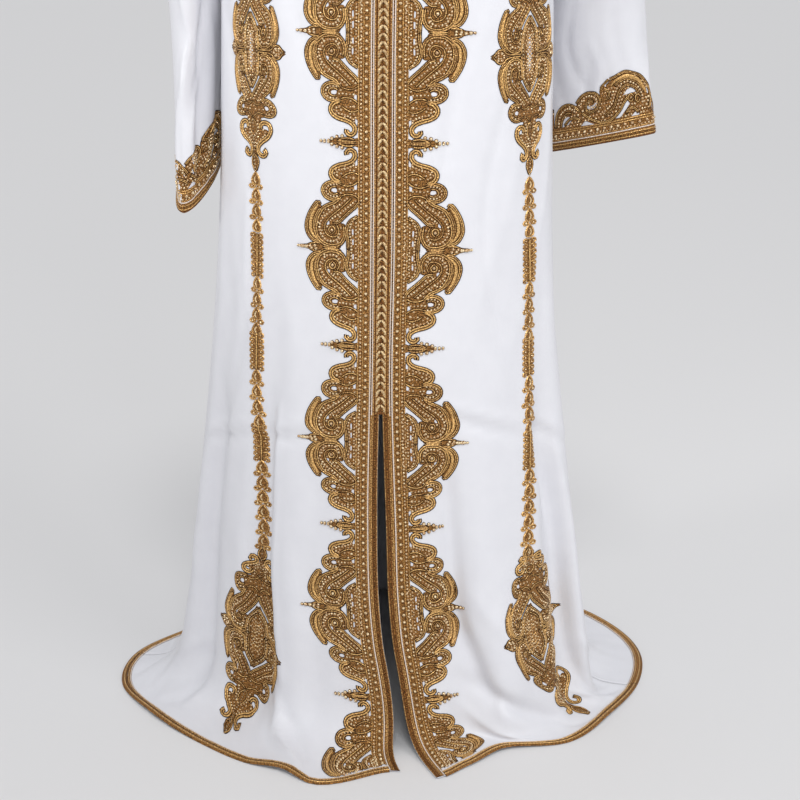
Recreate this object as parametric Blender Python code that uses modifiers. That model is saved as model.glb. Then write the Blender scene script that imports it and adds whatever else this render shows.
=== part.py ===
"""Moroccan kaftan, hollow as worn: two front panels, back, two sleeves, braid trims and raised applique.

Metres, +Z up. The wearer faces -Y, and the origin is the neck base between the shoulders.
Run: blender --background --python part.py
"""

import math
from collections import namedtuple

import bmesh
import bpy
import numpy as np

# Driving dimensions. Heights are above the floor that the hem trails on.
NECK_BASE = 1.430
NECK_POINT = 1.425
NECK_HALF_WIDTH = 0.085
FRONT_NECK_DROP = 0.085
BACK_NECK_DROP = 0.020
SHOULDER_HALF_WIDTH = 0.200
SHOULDER_FALL = 0.348
SHOULDER_ROUNDING = 0.110
UNDERARM = 1.200
ARMHOLE_SCOOP = 16
SLIT_TOP = 0.458
BREAK = 0.115
# The wearer stands turned a little: y falls by this share of x.
TURNED = 0.15

CLOTH = 0.002
BAND = 0.0015
BRAID = 0.003
APPLIQUE = 0.0014
SEAM_GAP = 0.0008
LAID_GAP = 0.0009
APPLIQUE_GAP = 0.0006
APPLIQUE_OVER_FOLDS = 0.0015
SHOULDER_GAP = 0.0009
ARMHOLE_GAP = 0.0006

FRONT_BAND_WIDTH = 0.0135
HEM_BAND_WIDTH = 0.0130
CUFF_BAND_WIDTH = 0.0130
NECK_BAND_WIDTH = 0.0135
BRAID_ON_BAND = 0.0042
BRAID_VALLEY = 0.45
CHEVRON_PITCH = 0.0105
CHEVRON_RISE = 0.0060
BORDER_START = 0.0155
LEAST_STEP = 0.0035
SNAP = 0.0007

COLUMN_STEP = 9.4
NECK_COLUMNS = 5
SKIRT_ROWS = 16
TRAIN_ROWS = 7
SLEEVE_ROWS = 11
# Rows above the underarm, as shares of each column's length. The first is the neck band's width down.
UPPER_ROWS = (0.0, 0.07, 0.17, 0.3, 0.44, 0.58, 0.72, 0.86)

# Half extents of the body's horizontal section to each side of the neck base.
Section = namedtuple("Section", "height left right front back")
SECTIONS = (
    Section(0.06, 0.305, 0.285, 0.242, 0.255),
    Section(0.13, 0.294, 0.278, 0.232, 0.242),
    Section(0.27, 0.279, 0.262, 0.208, 0.216),
    Section(0.42, 0.262, 0.247, 0.190, 0.194),
    Section(0.57, 0.247, 0.233, 0.174, 0.174),
    Section(0.78, 0.234, 0.226, 0.158, 0.156),
    Section(0.99, 0.228, 0.223, 0.144, 0.142),
    Section(1.08, 0.224, 0.220, 0.136, 0.130),
    Section(1.20, 0.225, 0.225, 0.134, 0.122),
    Section(1.28, 0.232, 0.232, 0.127, 0.114),
    Section(1.34, 0.238, 0.238, 0.112, 0.102),
    Section(1.40, 0.243, 0.243, 0.088, 0.080),
    Section(1.46, 0.246, 0.246, 0.060, 0.055),
)

# Soft vertical folds: ridges stand out, troughs (negative depth) fall in. They grow down the skirt.
Fold = namedtuple("Fold", "name angle half_width top depth")
FOLDS = (
    Fold("left outer ridge", -79, 12, 0.95, 0.012),
    Fold("left side trough", -64, 10, 0.85, -0.014),
    Fold("left pleat trough", -39, 9, 0.62, -0.020),
    Fold("left pleat ridge", -28, 9, 0.80, 0.010),
    Fold("right front trough", 20, 12, 0.55, -0.016),
    Fold("right front ridge", 34, 11, 0.60, 0.008),
    Fold("right side trough", 62, 10, 0.80, -0.015),
    Fold("right outer ridge", 75, 10, 0.95, 0.012),
    Fold("right seam trough", 93, 10, 0.90, -0.014),
    Fold("back ridge 1", 112, 14, 0.98, 0.018),
    Fold("back trough 1", 131, 11, 0.90, -0.014),
    Fold("back ridge 2", 148, 13, 0.92, 0.017),
    Fold("back trough 2", 166, 11, 0.95, -0.013),
    Fold("back ridge 3", 184, 14, 0.98, 0.020),
    Fold("back trough 3", 202, 11, 0.88, -0.015),
    Fold("back ridge 4", 219, 13, 0.94, 0.016),
    Fold("back trough 4", 237, 11, 0.90, -0.013),
    Fold("back ridge 5", 253, 13, 0.96, 0.015),
)

# Where the hem lies on the floor: distance from the neck's plumb line, and how far it lifts.
Hem = namedtuple("Hem", "angle reach lift")
HEM = (
    Hem(-180, 0.350, 0.000),
    Hem(-150, 0.338, 0.005),
    Hem(-116, 0.350, 0.000),
    Hem(-98, 0.390, 0.000),
    Hem(-83, 0.397, 0.000),
    Hem(-68, 0.381, 0.004),
    Hem(-49, 0.370, 0.000),
    Hem(-36, 0.372, 0.000),
    Hem(-27, 0.371, 0.006),
    Hem(-20, 0.386, 0.000),
    Hem(-3, 0.330, 0.000),
    Hem(3, 0.352, 0.000),
    Hem(14, 0.322, 0.002),
    Hem(25, 0.296, 0.004),
    Hem(45, 0.335, 0.000),
    Hem(63, 0.346, 0.003),
    Hem(84, 0.371, 0.000),
    Hem(104, 0.389, 0.000),
    Hem(121, 0.382, 0.004),
    Hem(150, 0.366, 0.000),
    Hem(180, 0.350, 0.000),
)

# The front opening by height: its width, and how far its middle has swung to the wearer's left.
Opening = namedtuple("Opening", "height width middle")
OPENING = (
    Opening(0.000, 0.034, 0.033),
    Opening(0.060, 0.017, 0.018),
    Opening(0.140, 0.014, 0.001),
    Opening(0.200, 0.0135, -0.005),
    Opening(0.310, 0.0120, -0.008),
    Opening(0.400, 0.0080, -0.009),
    Opening(0.458, 0.0050, -0.009),
    Opening(0.700, 0.0050, -0.006),
    Opening(1.000, 0.0050, -0.004),
    Opening(1.200, 0.0050, 0.000),
    Opening(1.460, 0.0050, 0.000),
)

# Sleeve rings from armhole to cuff. x is out from the middle; the outward axis rises by rise degrees,
# the ring turns about the vertical by turn, and its front dips by dip.
Ring = namedtuple("Ring", "x y height half_out half_front rise turn dip")
RIGHT_SLEEVE = (
    Ring(0.241, 0.000, 1.282, 0.090, 0.074, 83, 0, 0),
    Ring(0.266, 0.000, 1.249, 0.084, 0.077, 66, 0, 0),
    Ring(0.284, 0.002, 1.204, 0.076, 0.079, 50, 0, 0),
    Ring(0.293, 0.012, 1.143, 0.067, 0.080, 34, -4, 0),
    Ring(0.293, 0.032, 1.070, 0.062, 0.074, 18, -14, 0),
    Ring(0.286, 0.060, 0.985, 0.064, 0.060, 8, -24, 0),
    Ring(0.289, 0.078, 0.900, 0.076, 0.049, 8, -29, 0),
    Ring(0.293, 0.085, 0.832, 0.086, 0.039, 11, -32, 0),
    Ring(0.298, 0.088, 0.784, 0.090, 0.033, 14, -33, 0),
)
LEFT_SLEEVE = (
    Ring(0.240, 0.000, 1.282, 0.090, 0.074, 83, 0, 0),
    Ring(0.263, 0.000, 1.249, 0.081, 0.077, 66, 0, 0),
    Ring(0.278, 0.004, 1.204, 0.069, 0.079, 50, 0, 0),
    Ring(0.279, 0.012, 1.143, 0.056, 0.080, 34, 0, 0),
    Ring(0.273, 0.030, 1.070, 0.046, 0.080, 18, 0, 0),
    Ring(0.266, 0.056, 0.985, 0.037, 0.081, 6, 2, 2),
    Ring(0.265, 0.056, 0.900, 0.033, 0.083, 3, 8, 8),
    Ring(0.265, 0.050, 0.822, 0.029, 0.086, 2, 12, 18),
    Ring(0.266, 0.045, 0.742, 0.024, 0.088, 0, 14, 28),
)

# Applique, in the flat cloth: down from the neckline, and across from the front edge.
BORDER_TIPS = (0.086, 0.378, 0.663, 0.925, 1.160, 1.385)
BORDER_USUAL_HALF = 0.137
# How far the border reaches from the edge of the cloth, from a tip (0) to half way to the next (1).
Reach = namedtuple("Reach", "share reach")
BORDER_OUTLINE = (
    Reach(0.00, 0.114),
    Reach(0.07, 0.096),
    Reach(0.17, 0.101),
    Reach(0.28, 0.101),
    Reach(0.41, 0.087),
    Reach(0.48, 0.060),
    Reach(0.55, 0.079),
    Reach(0.62, 0.064),
    Reach(0.70, 0.069),
    Reach(0.79, 0.050),
    Reach(0.89, 0.034),
    Reach(1.00, 0.081),
)
MEDALLION_OUTLINE = (
    Reach(0.00, 0.050),
    Reach(0.05, 0.044),
    Reach(0.20, 0.045),
    Reach(0.38, 0.040),
    Reach(0.46, 0.032),
    Reach(0.58, 0.034),
    Reach(0.68, 0.028),
    Reach(0.76, 0.014),
    Reach(0.82, 0.017),
    Reach(0.88, 0.007),
    Reach(0.94, 0.007),
    Reach(1.00, 0.003),
)
CUFF_OUTLINE = (
    Reach(0.00, 0.088),
    Reach(0.18, 0.094),
    Reach(0.36, 0.080),
    Reach(0.50, 0.046),
    Reach(0.64, 0.064),
    Reach(0.78, 0.056),
    Reach(0.90, 0.052),
    Reach(1.00, 0.030),
)
CUFF_REPEATS = 2
CUFF_START = 0.0145
HEM_CLEARANCE = 0.0070

# Each side's column of work: a medallion over the thigh, a chain, and a medallion at the hem.
Axis = namedtuple("Axis", "down left right")
AXIS = (
    Axis(0.25, 0.186, 0.195),
    Axis(0.41, 0.186, 0.197),
    Axis(0.57, 0.187, 0.206),
    Axis(0.82, 0.187, 0.215),
    Axis(1.10, 0.196, 0.211),
    Axis(1.24, 0.223, 0.229),
    Axis(1.39, 0.282, 0.290),
)
Medallion = namedtuple("Medallion", "name centre half_length gap")
MEDALLIONS = (
    Medallion("upper", 0.412, 0.158, APPLIQUE_GAP),
    Medallion("lower", 1.245, 0.146, APPLIQUE_OVER_FOLDS),
)
CHAIN = (0.575, 1.094)
CHAIN_HALF_WIDTH = 0.0060
CHAIN_WAIST = 0.0032
CHAIN_PITCH = 0.0325

WHITE = ((0.86, 0.86, 0.88), 0.55, 0.0)
GOLD = ((0.55, 0.34, 0.10), 0.38, 0.7)
PALE_GOLD = ((0.66, 0.47, 0.20), 0.42, 0.6)


def column(table, name):
    return np.array([getattr(row, name) for row in table], float)


def smooth(table, key, value, at):
    """A smooth curve through one column of a table, against another, read at `at`."""
    xs, ys = column(table, key), column(table, value)
    slope = np.gradient(ys, xs)
    at = np.clip(np.asarray(at, float), xs[0], xs[-1])
    i = np.clip(np.searchsorted(xs, at, side="right") - 1, 0, len(xs) - 2)
    step = xs[i + 1] - xs[i]
    t = (at - xs[i]) / step
    near = (1 + 2 * t) * (1 - t) ** 2 * ys[i] + t * (1 - t) ** 2 * step * slope[i]
    far = t * t * (3 - 2 * t) * ys[i + 1] + t * t * (t - 1) * step * slope[i + 1]
    return near + far


def fold_depth(angle, height):
    """How far the cloth stands out (or in) from the plain section, at ring angles in degrees."""
    total = np.zeros_like(np.asarray(angle, float) + height)
    for fold in FOLDS:
        away = (angle - fold.angle + 180) % 360 - 180
        bump = np.cos(np.clip(away / fold.half_width, -1, 1) * math.pi / 2) ** 2
        share = np.clip((fold.top - height) / (fold.top - BREAK), 0, 1.2)
        total = total + fold.depth * bump * share**1.5
    return total


def front_weight(angle):
    return np.clip(np.cos(np.radians(angle)), 0, 1) ** 2


def body_points(angle, height):
    """Points of the outer surface between underarm and break. Angle 0 is the front, +90 the right."""
    turn = np.radians(angle)
    out = np.where(
        np.sin(turn) >= 0,
        smooth(SECTIONS, "height", "right", height),
        smooth(SECTIONS, "height", "left", height),
    )
    deep = np.where(
        np.cos(turn) >= 0,
        smooth(SECTIONS, "height", "front", height),
        smooth(SECTIONS, "height", "back", height),
    )
    x, y = out * np.sin(turn), -deep * np.cos(turn)
    across, along = x / out**2, y / deep**2
    size = np.hypot(across, along)
    depth = fold_depth(angle, height)
    swing = smooth(OPENING, "height", "middle", height) * front_weight(angle)
    x = x + depth * across / size + swing
    y = y + depth * along / size - TURNED * x
    return np.stack([x, y, np.full_like(x, height)], -1)


def train_points(angle, share):
    """Points from the break (share 0) round the bend and along the floor to the hem (share 1)."""
    start = body_points(angle, BREAK)
    above = body_points(angle, BREAK + 0.02)
    bearing = np.degrees(np.arctan2(start[:, 0], -start[:, 1]))
    reach = smooth(HEM, "angle", "reach", bearing)
    lift = smooth(HEM, "angle", "lift", bearing)
    swing = OPENING[0].middle * front_weight(angle)
    turn = np.radians(bearing)
    end = np.stack([reach * np.sin(turn) + swing, -reach * np.cos(turn), CLOTH + np.clip(lift, 0, 1)], -1)
    away = end - start
    away[:, 2] = 0
    down = start - above
    down = down / np.linalg.norm(down, axis=1, keepdims=True)
    first = start + down * BREAK * 0.90
    last = end - away * 0.80
    last[:, 2] = CLOTH + np.clip(lift, 0, 1) * 0.6
    t = share
    return (
        (1 - t) ** 3 * start + 3 * (1 - t) ** 2 * t * first + 3 * (1 - t) * t * t * last + t**3 * end
    )


def shoulder_line(x):
    return NECK_POINT - SHOULDER_FALL * (np.abs(x) - NECK_HALF_WIDTH)


def top_edge(drop, columns):
    """Half of a panel's top edge, from the middle: neckline, then shoulder seam."""
    turn = np.linspace(0, math.pi / 2, NECK_COLUMNS + 1)
    neck_x = NECK_HALF_WIDTH * np.sin(turn)
    seam_x = np.linspace(NECK_HALF_WIDTH, SHOULDER_HALF_WIDTH, columns - NECK_COLUMNS + 1)[1:]
    heights = np.concatenate([NECK_POINT - drop * np.cos(turn) ** 2, shoulder_line(seam_x)])
    return np.concatenate([neck_x, seam_x]), heights


def upper_points(x_top, z_top, below, share, side_sign, face):
    """Points at shares of the fall from the top edge to the underarm's ring angles. face is -1 in front."""
    side = "right" if side_sign > 0 else "left"
    height = z_top + (UNDERARM - z_top) * share
    wide = smooth(SECTIONS, "height", side, height)
    deep = smooth(SECTIONS, "height", "front" if face < 0 else "back", height)
    top = np.arcsin(x_top / smooth(SECTIONS, "height", side, z_top))
    scoop = math.radians(ARMHOLE_SCOOP) * np.sin(math.pi * share) * np.linspace(0, 1, len(x_top)) ** 2
    turn = top + (below - top) * share - scoop
    x = wide * np.sin(turn)
    fall = np.clip((shoulder_line(x) - height) / SHOULDER_ROUNDING, 0, 1)
    depth = deep * np.cos(turn) * np.sqrt(1 - (1 - fall) ** 2)
    y = face * (depth + SHOULDER_GAP * (1 - share) ** 8) - TURNED * side_sign * x
    return np.stack([side_sign * x, y, height], -1)


def upper_rows(x_top, z_top, below, side_sign, face):
    """Rows from the top edge to just above the underarm, spaced along the cloth."""
    shares = np.linspace(0, 1, 81) ** 2.5
    fine = []
    for share in shares:
        fine.append(upper_points(x_top, z_top, below, np.full(len(x_top), share), side_sign, face))
    steps = np.linalg.norm(np.diff(fine, axis=0), axis=2)
    lengths = np.concatenate([np.zeros((1, len(x_top))), np.cumsum(steps, axis=0)])
    rows = []
    for k, part in enumerate(UPPER_ROWS):
        reach = np.full(len(x_top), NECK_BAND_WIDTH) if k == 1 else part * lengths[-1]
        at = np.array([np.interp(reach[c], lengths[:, c], shares) for c in range(len(x_top))])
        rows.append(upper_points(x_top, z_top, below, at, side_sign, face))
    return rows


def shorter_first(corners):
    """Whether a cell's fold runs from its first corner to its last, the shorter of its diagonals."""
    first, second = corners[0][0] - corners[1][1], corners[1][0] - corners[0][1]
    return np.dot(first, first) < np.dot(second, second)


def facet_shares(corners, t, s):
    """The corners of the triangle that holds a place t down and s across a cell, with their weights."""
    if shorter_first(corners):
        if s > t:
            return ((0, 0), 1 - s), ((0, 1), s - t), ((1, 1), t)
        return ((0, 0), 1 - t), ((1, 0), t - s), ((1, 1), s)
    if s + t < 1:
        return ((0, 0), 1 - s - t), ((0, 1), s), ((1, 0), t)
    return ((1, 1), s + t - 1), ((0, 1), 1 - t), ((1, 0), 1 - s)


class Panel:
    """A cloth surface: rows of points, outward normals, and distances along the cloth."""

    def __init__(self, points, normals):
        self.points = np.array(points)
        self.normals = np.array(normals)
        steps = np.linalg.norm(np.diff(self.points, axis=1), axis=2)
        self.across = np.concatenate([np.zeros((len(steps), 1)), np.cumsum(steps, axis=1)], axis=1)
        drops = np.linalg.norm(np.diff(self.points[:, 0], axis=0), axis=1)
        self.down = np.concatenate([[0], np.cumsum(drops)])

    def turned(self):
        """The same cloth with rows and columns swapped, measured in from the last row."""
        return Panel(self.points[::-1].transpose(1, 0, 2), self.normals[::-1].transpose(1, 0, 2))

    def cell_row(self, down):
        """The row of cells at a distance along the first column, and how far down it."""
        i = int(np.clip(np.searchsorted(self.down, down, side="right") - 1, 0, len(self.down) - 2))
        return i, float(np.clip((down - self.down[i]) / (self.down[i + 1] - self.down[i]), 0, 1))

    def distances(self, down):
        i, t = self.cell_row(down)
        return self.across[i] + (self.across[i + 1] - self.across[i]) * t

    def at(self, down, across, out=0.0):
        """Points on the cloth's triangular facets, moved out along its normals."""
        i, t = self.cell_row(down)
        lines = self.distances(down)
        found = []
        for distance in np.atleast_1d(across):
            j = int(np.clip(np.searchsorted(lines, distance, side="right") - 1, 0, len(lines) - 2))
            s = float(np.clip((distance - lines[j]) / max(lines[j + 1] - lines[j], 1e-9), 0, 1))
            shares = facet_shares(self.points[i : i + 2, j : j + 2], t, s)
            place, normal = (
                sum(w * grid[i + a, j + b] for (a, b), w in shares) for grid in (self.points, self.normals)
            )
            found.append(place + out * normal / np.linalg.norm(normal))
        return np.array(found)

    def downs_between(self, start, end, stops=()):
        """Distances from start to end: every row, and each stop that is not beside one."""
        found = [start] + [d for d in self.down if start + SNAP < d < end - SNAP] + [end]
        for stop in stops:
            if start < stop < end and np.abs(np.array(found) - stop).min() > LEAST_STEP:
                found.append(stop)
        return sorted(found)

    def laid(self, downs, inner, outer, gap):
        """A strip between inner(down) and outer(down) with its points on the column lines it crosses."""
        strip, under = [], []
        for down in downs:
            low, high = inner(down), outer(down)
            across = np.clip(self.distances(down), low, high)
            across = np.where(across - low < SNAP, low, across)
            across = np.where(high - across < SNAP, high, across)
            across[0], across[-1] = low, high
            under.append(self.at(down, across))
            strip.append(self.at(down, across, gap))
        return np.array(strip), np.array(strip) - np.array(under)


def outward(points, middle, closed=False):
    """Smooth normals of a grid of points, facing away from the middle."""
    if closed:
        ring = np.concatenate([points[:, -2:-1], points, points[:, 1:2]], axis=1)
        around = np.gradient(ring, axis=1)[:, 1:-1]
    else:
        around = np.gradient(points, axis=1)
    normals = np.cross(around, np.gradient(points, axis=0))
    normals /= np.linalg.norm(normals, axis=2, keepdims=True)
    return normals if ((points - middle) * normals).sum() > 0 else -normals


def fold_columns(first, last):
    """Ring angles from first to last with one on every fold line and none more than COLUMN_STEP apart."""
    lines = sorted(f.angle % 360 for f in FOLDS)
    low, high = min(first, last), max(first, last)
    inside = [a - 360 * k for k in (0, 1) for a in lines if low + 3 < a - 360 * k < high - 3]
    stops = [low] + sorted(inside) + [high]
    found = [low]
    for a, b in zip(stops, stops[1:]):
        parts = math.ceil((b - a) / COLUMN_STEP)
        found += [a + (b - a) * k / parts for k in range(1, parts + 1)]
    return np.array(found if first < last else found[::-1])


def front_panel(side):
    sign = 1 if side == "right" else -1
    spread = np.abs(fold_columns(0, sign * 90)) / 90

    def angles(height):
        width = smooth(OPENING, "height", "width", height)
        out = smooth(SECTIONS, "height", side, height)
        edge = np.degrees(np.arcsin(width / 2 / out))
        seam = 90 - math.degrees(SEAM_GAP / 2 / smooth(SECTIONS, "height", "front", height))
        return sign * (edge + (seam - edge) * spread)

    heights = np.linspace(UNDERARM, BREAK, SKIRT_ROWS + 1)
    skirt = [body_points(angles(h), h) for h in heights]
    x_top, z_top = top_edge(FRONT_NECK_DROP, len(spread) - 1)
    x_top = x_top + OPENING[-1].width / 2 * (1 - np.linspace(0, 1, len(x_top))) ** 2
    upper = upper_rows(x_top, z_top, np.radians(np.abs(angles(UNDERARM))), sign, -1)
    train = []
    for k in range(1, TRAIN_ROWS + 1):
        share = k / TRAIN_ROWS
        train.append(train_points(angles(BREAK * (1 - share) ** 1.5), share))
    points = np.array(upper + skirt + train)
    return Panel(points, outward(points, points * (0, 0, 1)))


def back_panel():
    spread = fold_columns(90, 270)
    middle = len(spread) // 2

    def angles(height):
        seam = math.degrees(SEAM_GAP / 2 / smooth(SECTIONS, "height", "back", height))
        return 180 + (spread - 180) * (1 - seam / 90)

    heights = np.linspace(UNDERARM, BREAK, SKIRT_ROWS + 1)
    skirt = [body_points(angles(h), h) for h in heights]
    right_x, right_z = top_edge(BACK_NECK_DROP, middle)
    left_x, left_z = top_edge(BACK_NECK_DROP, len(spread) - 1 - middle)
    below = np.radians(np.abs(180 - angles(UNDERARM)))
    rights = upper_rows(right_x, right_z, below[middle::-1], 1, 1)
    lefts = upper_rows(left_x, left_z, below[middle:], -1, 1)
    upper = [np.concatenate([right[::-1], left[1:]]) for right, left in zip(rights, lefts)]
    train = [train_points(angles(BREAK), k / TRAIN_ROWS) for k in range(1, TRAIN_ROWS + 1)]
    points = np.array(upper + skirt + train)
    return Panel(points, outward(points, points * (0, 0, 1)))


def sleeve_panel(table, sign, front, back_edge):
    """Rings from the armhole to the cuff. Each starts at the underarm and runs up the front."""
    rows = len(UPPER_ROWS)
    shoulder = (front.points[0, -1] + back_edge[0]) / 2
    loop = np.concatenate([front.points[rows:0:-1, -1], [shoulder], back_edge[1:rows]])
    middle = loop.mean(axis=0)
    own = np.arctan2(middle[1] - loop[:, 1], middle[2] - loop[:, 2]) % (2 * math.pi)
    own[0] = 0.0
    even = np.arange(len(loop)) * 2 * math.pi / len(loop)
    rings = [loop + (sign * ARMHOLE_GAP, 0, 0)]
    for k in range(1, SLEEVE_ROWS + 1):
        at = (k - 1) / (SLEEVE_ROWS - 1) * (len(table) - 1)
        x, y, z, out, deep, rise, turn, dip = (
            np.interp(at, np.arange(len(table)), column(table, name)) for name in Ring._fields
        )
        angle = own + (even - own) * min(1.0, k / 4)
        rise, turn, dip = np.radians([rise, turn, dip])
        level = math.cos(rise)
        away = np.array([level * math.cos(turn), level * math.sin(turn), math.sin(rise)])
        forward = np.array(
            [math.sin(turn) * math.cos(dip), -math.cos(turn) * math.cos(dip), -math.sin(dip)]
        )
        ring = (x, y, z) - np.cos(angle)[:, None] * out * away + np.sin(angle)[:, None] * deep * forward
        ring = ring * (sign, 1, 1) - (0, TURNED * sign * x * (1 - 0.6 * k / SLEEVE_ROWS), 0)
        rings.append(ring)
    points = np.array([np.concatenate([ring, ring[:1]]) for ring in rings])
    return Panel(points, outward(points, points[:, :-1].mean(axis=1, keepdims=True), closed=True))


def material(name, look):
    colour, roughness, metallic = look
    made = bpy.data.materials.new(name)
    made.use_nodes = True
    shader = made.node_tree.nodes["Principled BSDF"]
    shader.inputs["Base Color"].default_value = (*colour, 1)
    shader.inputs["Roughness"].default_value = roughness
    shader.inputs["Metallic"].default_value = metallic
    return made


def wall(name, points, normals, look, thickness, grows, relief=None):
    """A wall from a grid of points on one face. It grows inward (-1) for cloth, outward (1) if laid on."""
    mesh = bmesh.new()
    weight = mesh.verts.layers.deform.new()
    grid = [[mesh.verts.new(p) for p in row] for row in points - (0, 0, NECK_BASE)]
    facing = 0.0
    for i in range(len(grid) - 1):
        for j in range(len(grid[0]) - 1):
            a, b, c, d = grid[i][j], grid[i + 1][j], grid[i + 1][j + 1], grid[i][j + 1]
            if shorter_first(((a.co, d.co), (b.co, c.co))):
                halves = ((a, b, c), (a, c, d))
            else:
                halves = ((a, b, d), (b, c, d))
            for half in halves:
                face = mesh.faces.new(half)
                face.normal_update()
                facing += face.calc_area() * float(np.dot(face.normal, normals[i][j]))
    for i, row in enumerate(grid):
        for vert in row:
            vert[weight][0] = 1.0 if relief is None else relief[i]
    if facing < 0:
        bmesh.ops.reverse_faces(mesh, faces=mesh.faces)
    bmesh.ops.remove_doubles(mesh, verts=mesh.verts, dist=1e-5)
    data = bpy.data.meshes.new(name)
    mesh.to_mesh(data)
    mesh.free()
    data.shade_smooth()
    made = bpy.data.objects.new(name, data)
    data.materials.append(look)
    collection.objects.link(made)
    made.vertex_groups.new(name="relief")
    solid = made.modifiers.new("wall", "SOLIDIFY")
    solid.thickness = thickness
    solid.offset = grows
    solid.use_even_offset = False
    if relief is not None:
        solid.vertex_group = "relief"
    return made


def outline_reach(outline, share):
    return float(np.interp(share, column(outline, "share"), column(outline, "reach")))


def mirrored_stops(outline, centre, before, after):
    """Where an outline turns, on both sides of its centre."""
    shares = column(outline, "share")
    return [centre - share * before for share in shares] + [centre + share * after for share in shares[1:]]


def border_halves(i):
    """Half the distance from a border tip to its neighbour above, and below."""
    gaps = np.diff(BORDER_TIPS)
    return gaps[max(i - 1, 0)] / 2, gaps[min(i, len(gaps) - 1)] / 2


def border_reach(down):
    """How far the front border reaches across: each down belongs to its nearest tip."""
    i = int(np.argmin(np.abs(np.array(BORDER_TIPS) - down)))
    half = border_halves(i)[int(down > BORDER_TIPS[i])]
    width = 0.75 + 0.25 * half / BORDER_USUAL_HALF
    return outline_reach(BORDER_OUTLINE, abs(down - BORDER_TIPS[i]) / half) * width


def above_hem(panel, first, last):
    """The lowest distance down at which the columns between two distances across clear the hem band."""
    lowest = []
    for j in range(len(panel.across[-1])):
        if first < panel.across[-1, j] < last:
            up = np.linalg.norm(np.diff(panel.points[::-1, j], axis=0), axis=1)
            risen = np.concatenate([[0], np.cumsum(up)])
            rows = np.interp(HEM_BAND_WIDTH + HEM_CLEARANCE, risen, np.arange(len(up) + 1))
            lowest.append(np.interp(len(up) - rows, np.arange(len(up) + 1), panel.down))
    return min(lowest)


def axis_at(side, down):
    return float(smooth(AXIS, "down", side, down))


def chain_reach(down):
    """Half width of the chain: a bulge for each bud, a waist between."""
    turn = (down - CHAIN[0]) / CHAIN_PITCH * 2 * math.pi
    return CHAIN_WAIST + (CHAIN_HALF_WIDTH - CHAIN_WAIST) * (0.5 - 0.5 * math.cos(turn))


for obj in list(bpy.data.objects):
    bpy.data.objects.remove(obj)
collection = bpy.data.collections.new("moroccan_kaftan")
bpy.context.scene.collection.children.link(collection)

# Cloth panels.
white = material("white satin", WHITE)
gold = material("antique gold thread", GOLD)
pale_gold = material("pale gold braid", PALE_GOLD)

fronts = {side: front_panel(side) for side in ("left", "right")}
back = back_panel()
back_edges = {"left": back.points[:, -1], "right": back.points[:, 0]}
sleeves = {
    "left": sleeve_panel(LEFT_SLEEVE, -1, fronts["left"], back_edges["left"]),
    "right": sleeve_panel(RIGHT_SLEEVE, 1, fronts["right"], back_edges["right"]),
}
wall("back", back.points, back.normals, white, CLOTH, -1)
for side, panel in fronts.items():
    wall(f"front_{side}", panel.points, panel.normals, white, CLOTH, -1)
for side, panel in sleeves.items():
    wall(f"sleeve_{side}", panel.points, panel.normals, white, CLOTH, -1)


def lay(name, panel, downs, inner, outer, look, gap, thickness):
    points, normals = panel.laid(downs, inner, outer, gap)
    wall(name, points, normals, look, thickness, 1)


# Braid bands along the front edges, the neck, the hem and the cuffs.
for side, panel in fronts.items():
    whole = panel.downs_between(0.0, panel.down[-1])
    lay(f"front_band_{side}", panel, whole, lambda d: 0.0, lambda d: FRONT_BAND_WIDTH, gold, LAID_GAP, BAND)
    hem = panel.turned()
    beside = (FRONT_BAND_WIDTH + SEAM_GAP) * max(1.0, panel.across[-1, 1] / panel.across[-2, 1]) + SEAM_GAP
    along = hem.downs_between(beside, hem.down[-1])
    lay(f"hem_band_{side}", hem, along, lambda d: 0.0, lambda d: HEM_BAND_WIDTH, gold, LAID_GAP, BAND)
    lay(
        f"neck_band_{side}",
        panel,
        panel.down[:2],
        lambda d: FRONT_BAND_WIDTH + SEAM_GAP,
        lambda d: panel.distances(d)[NECK_COLUMNS],
        gold,
        LAID_GAP,
        BAND,
    )
hem = back.turned()
lay("hem_band_back", hem, hem.down, lambda d: 0.0, lambda d: HEM_BAND_WIDTH, gold, LAID_GAP, BAND)
middle = back.across.shape[1] // 2
lay(
    "neck_band_back",
    back,
    back.down[:2],
    lambda d: back.distances(d)[middle - NECK_COLUMNS],
    lambda d: back.distances(d)[middle + NECK_COLUMNS],
    gold,
    LAID_GAP,
    BAND,
)
for side, panel in sleeves.items():
    cuff = panel.turned()
    lay(f"cuff_band_{side}", cuff, cuff.down, lambda d: 0.0, lambda d: CUFF_BAND_WIDTH, gold, LAID_GAP, BAND)

# The plait of knotted buttons and loops that closes the front, from the neck to the top of the slit.
left, right = fronts["left"], fronts["right"]
slit_down = float(np.interp(-SLIT_TOP, -left.points[:, 0, 2], left.down))
rows, tilts = [], []
chevrons = int((slit_down - CHEVRON_RISE) / CHEVRON_PITCH)
for k in range(2 * chevrons + 1):
    down = k * CHEVRON_PITCH / 2
    over = LAID_GAP + BAND + LAID_GAP
    edge = [p.at(down + CHEVRON_RISE, BRAID_ON_BAND, over)[0] for p in (left, right)]
    centre = sum(p.at(down, 0.0, over)[0] for p in (left, right)) / 2
    rows.append([edge[0], centre, edge[1]])
    tilts.append([(0, -1, 0)] * 3)
relief = [1.0 if k % 2 else BRAID_VALLEY for k in range(2 * chevrons + 1)]
wall("button_plait", np.array(rows), np.array(tilts), pale_gold, BRAID, 1, relief)

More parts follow.
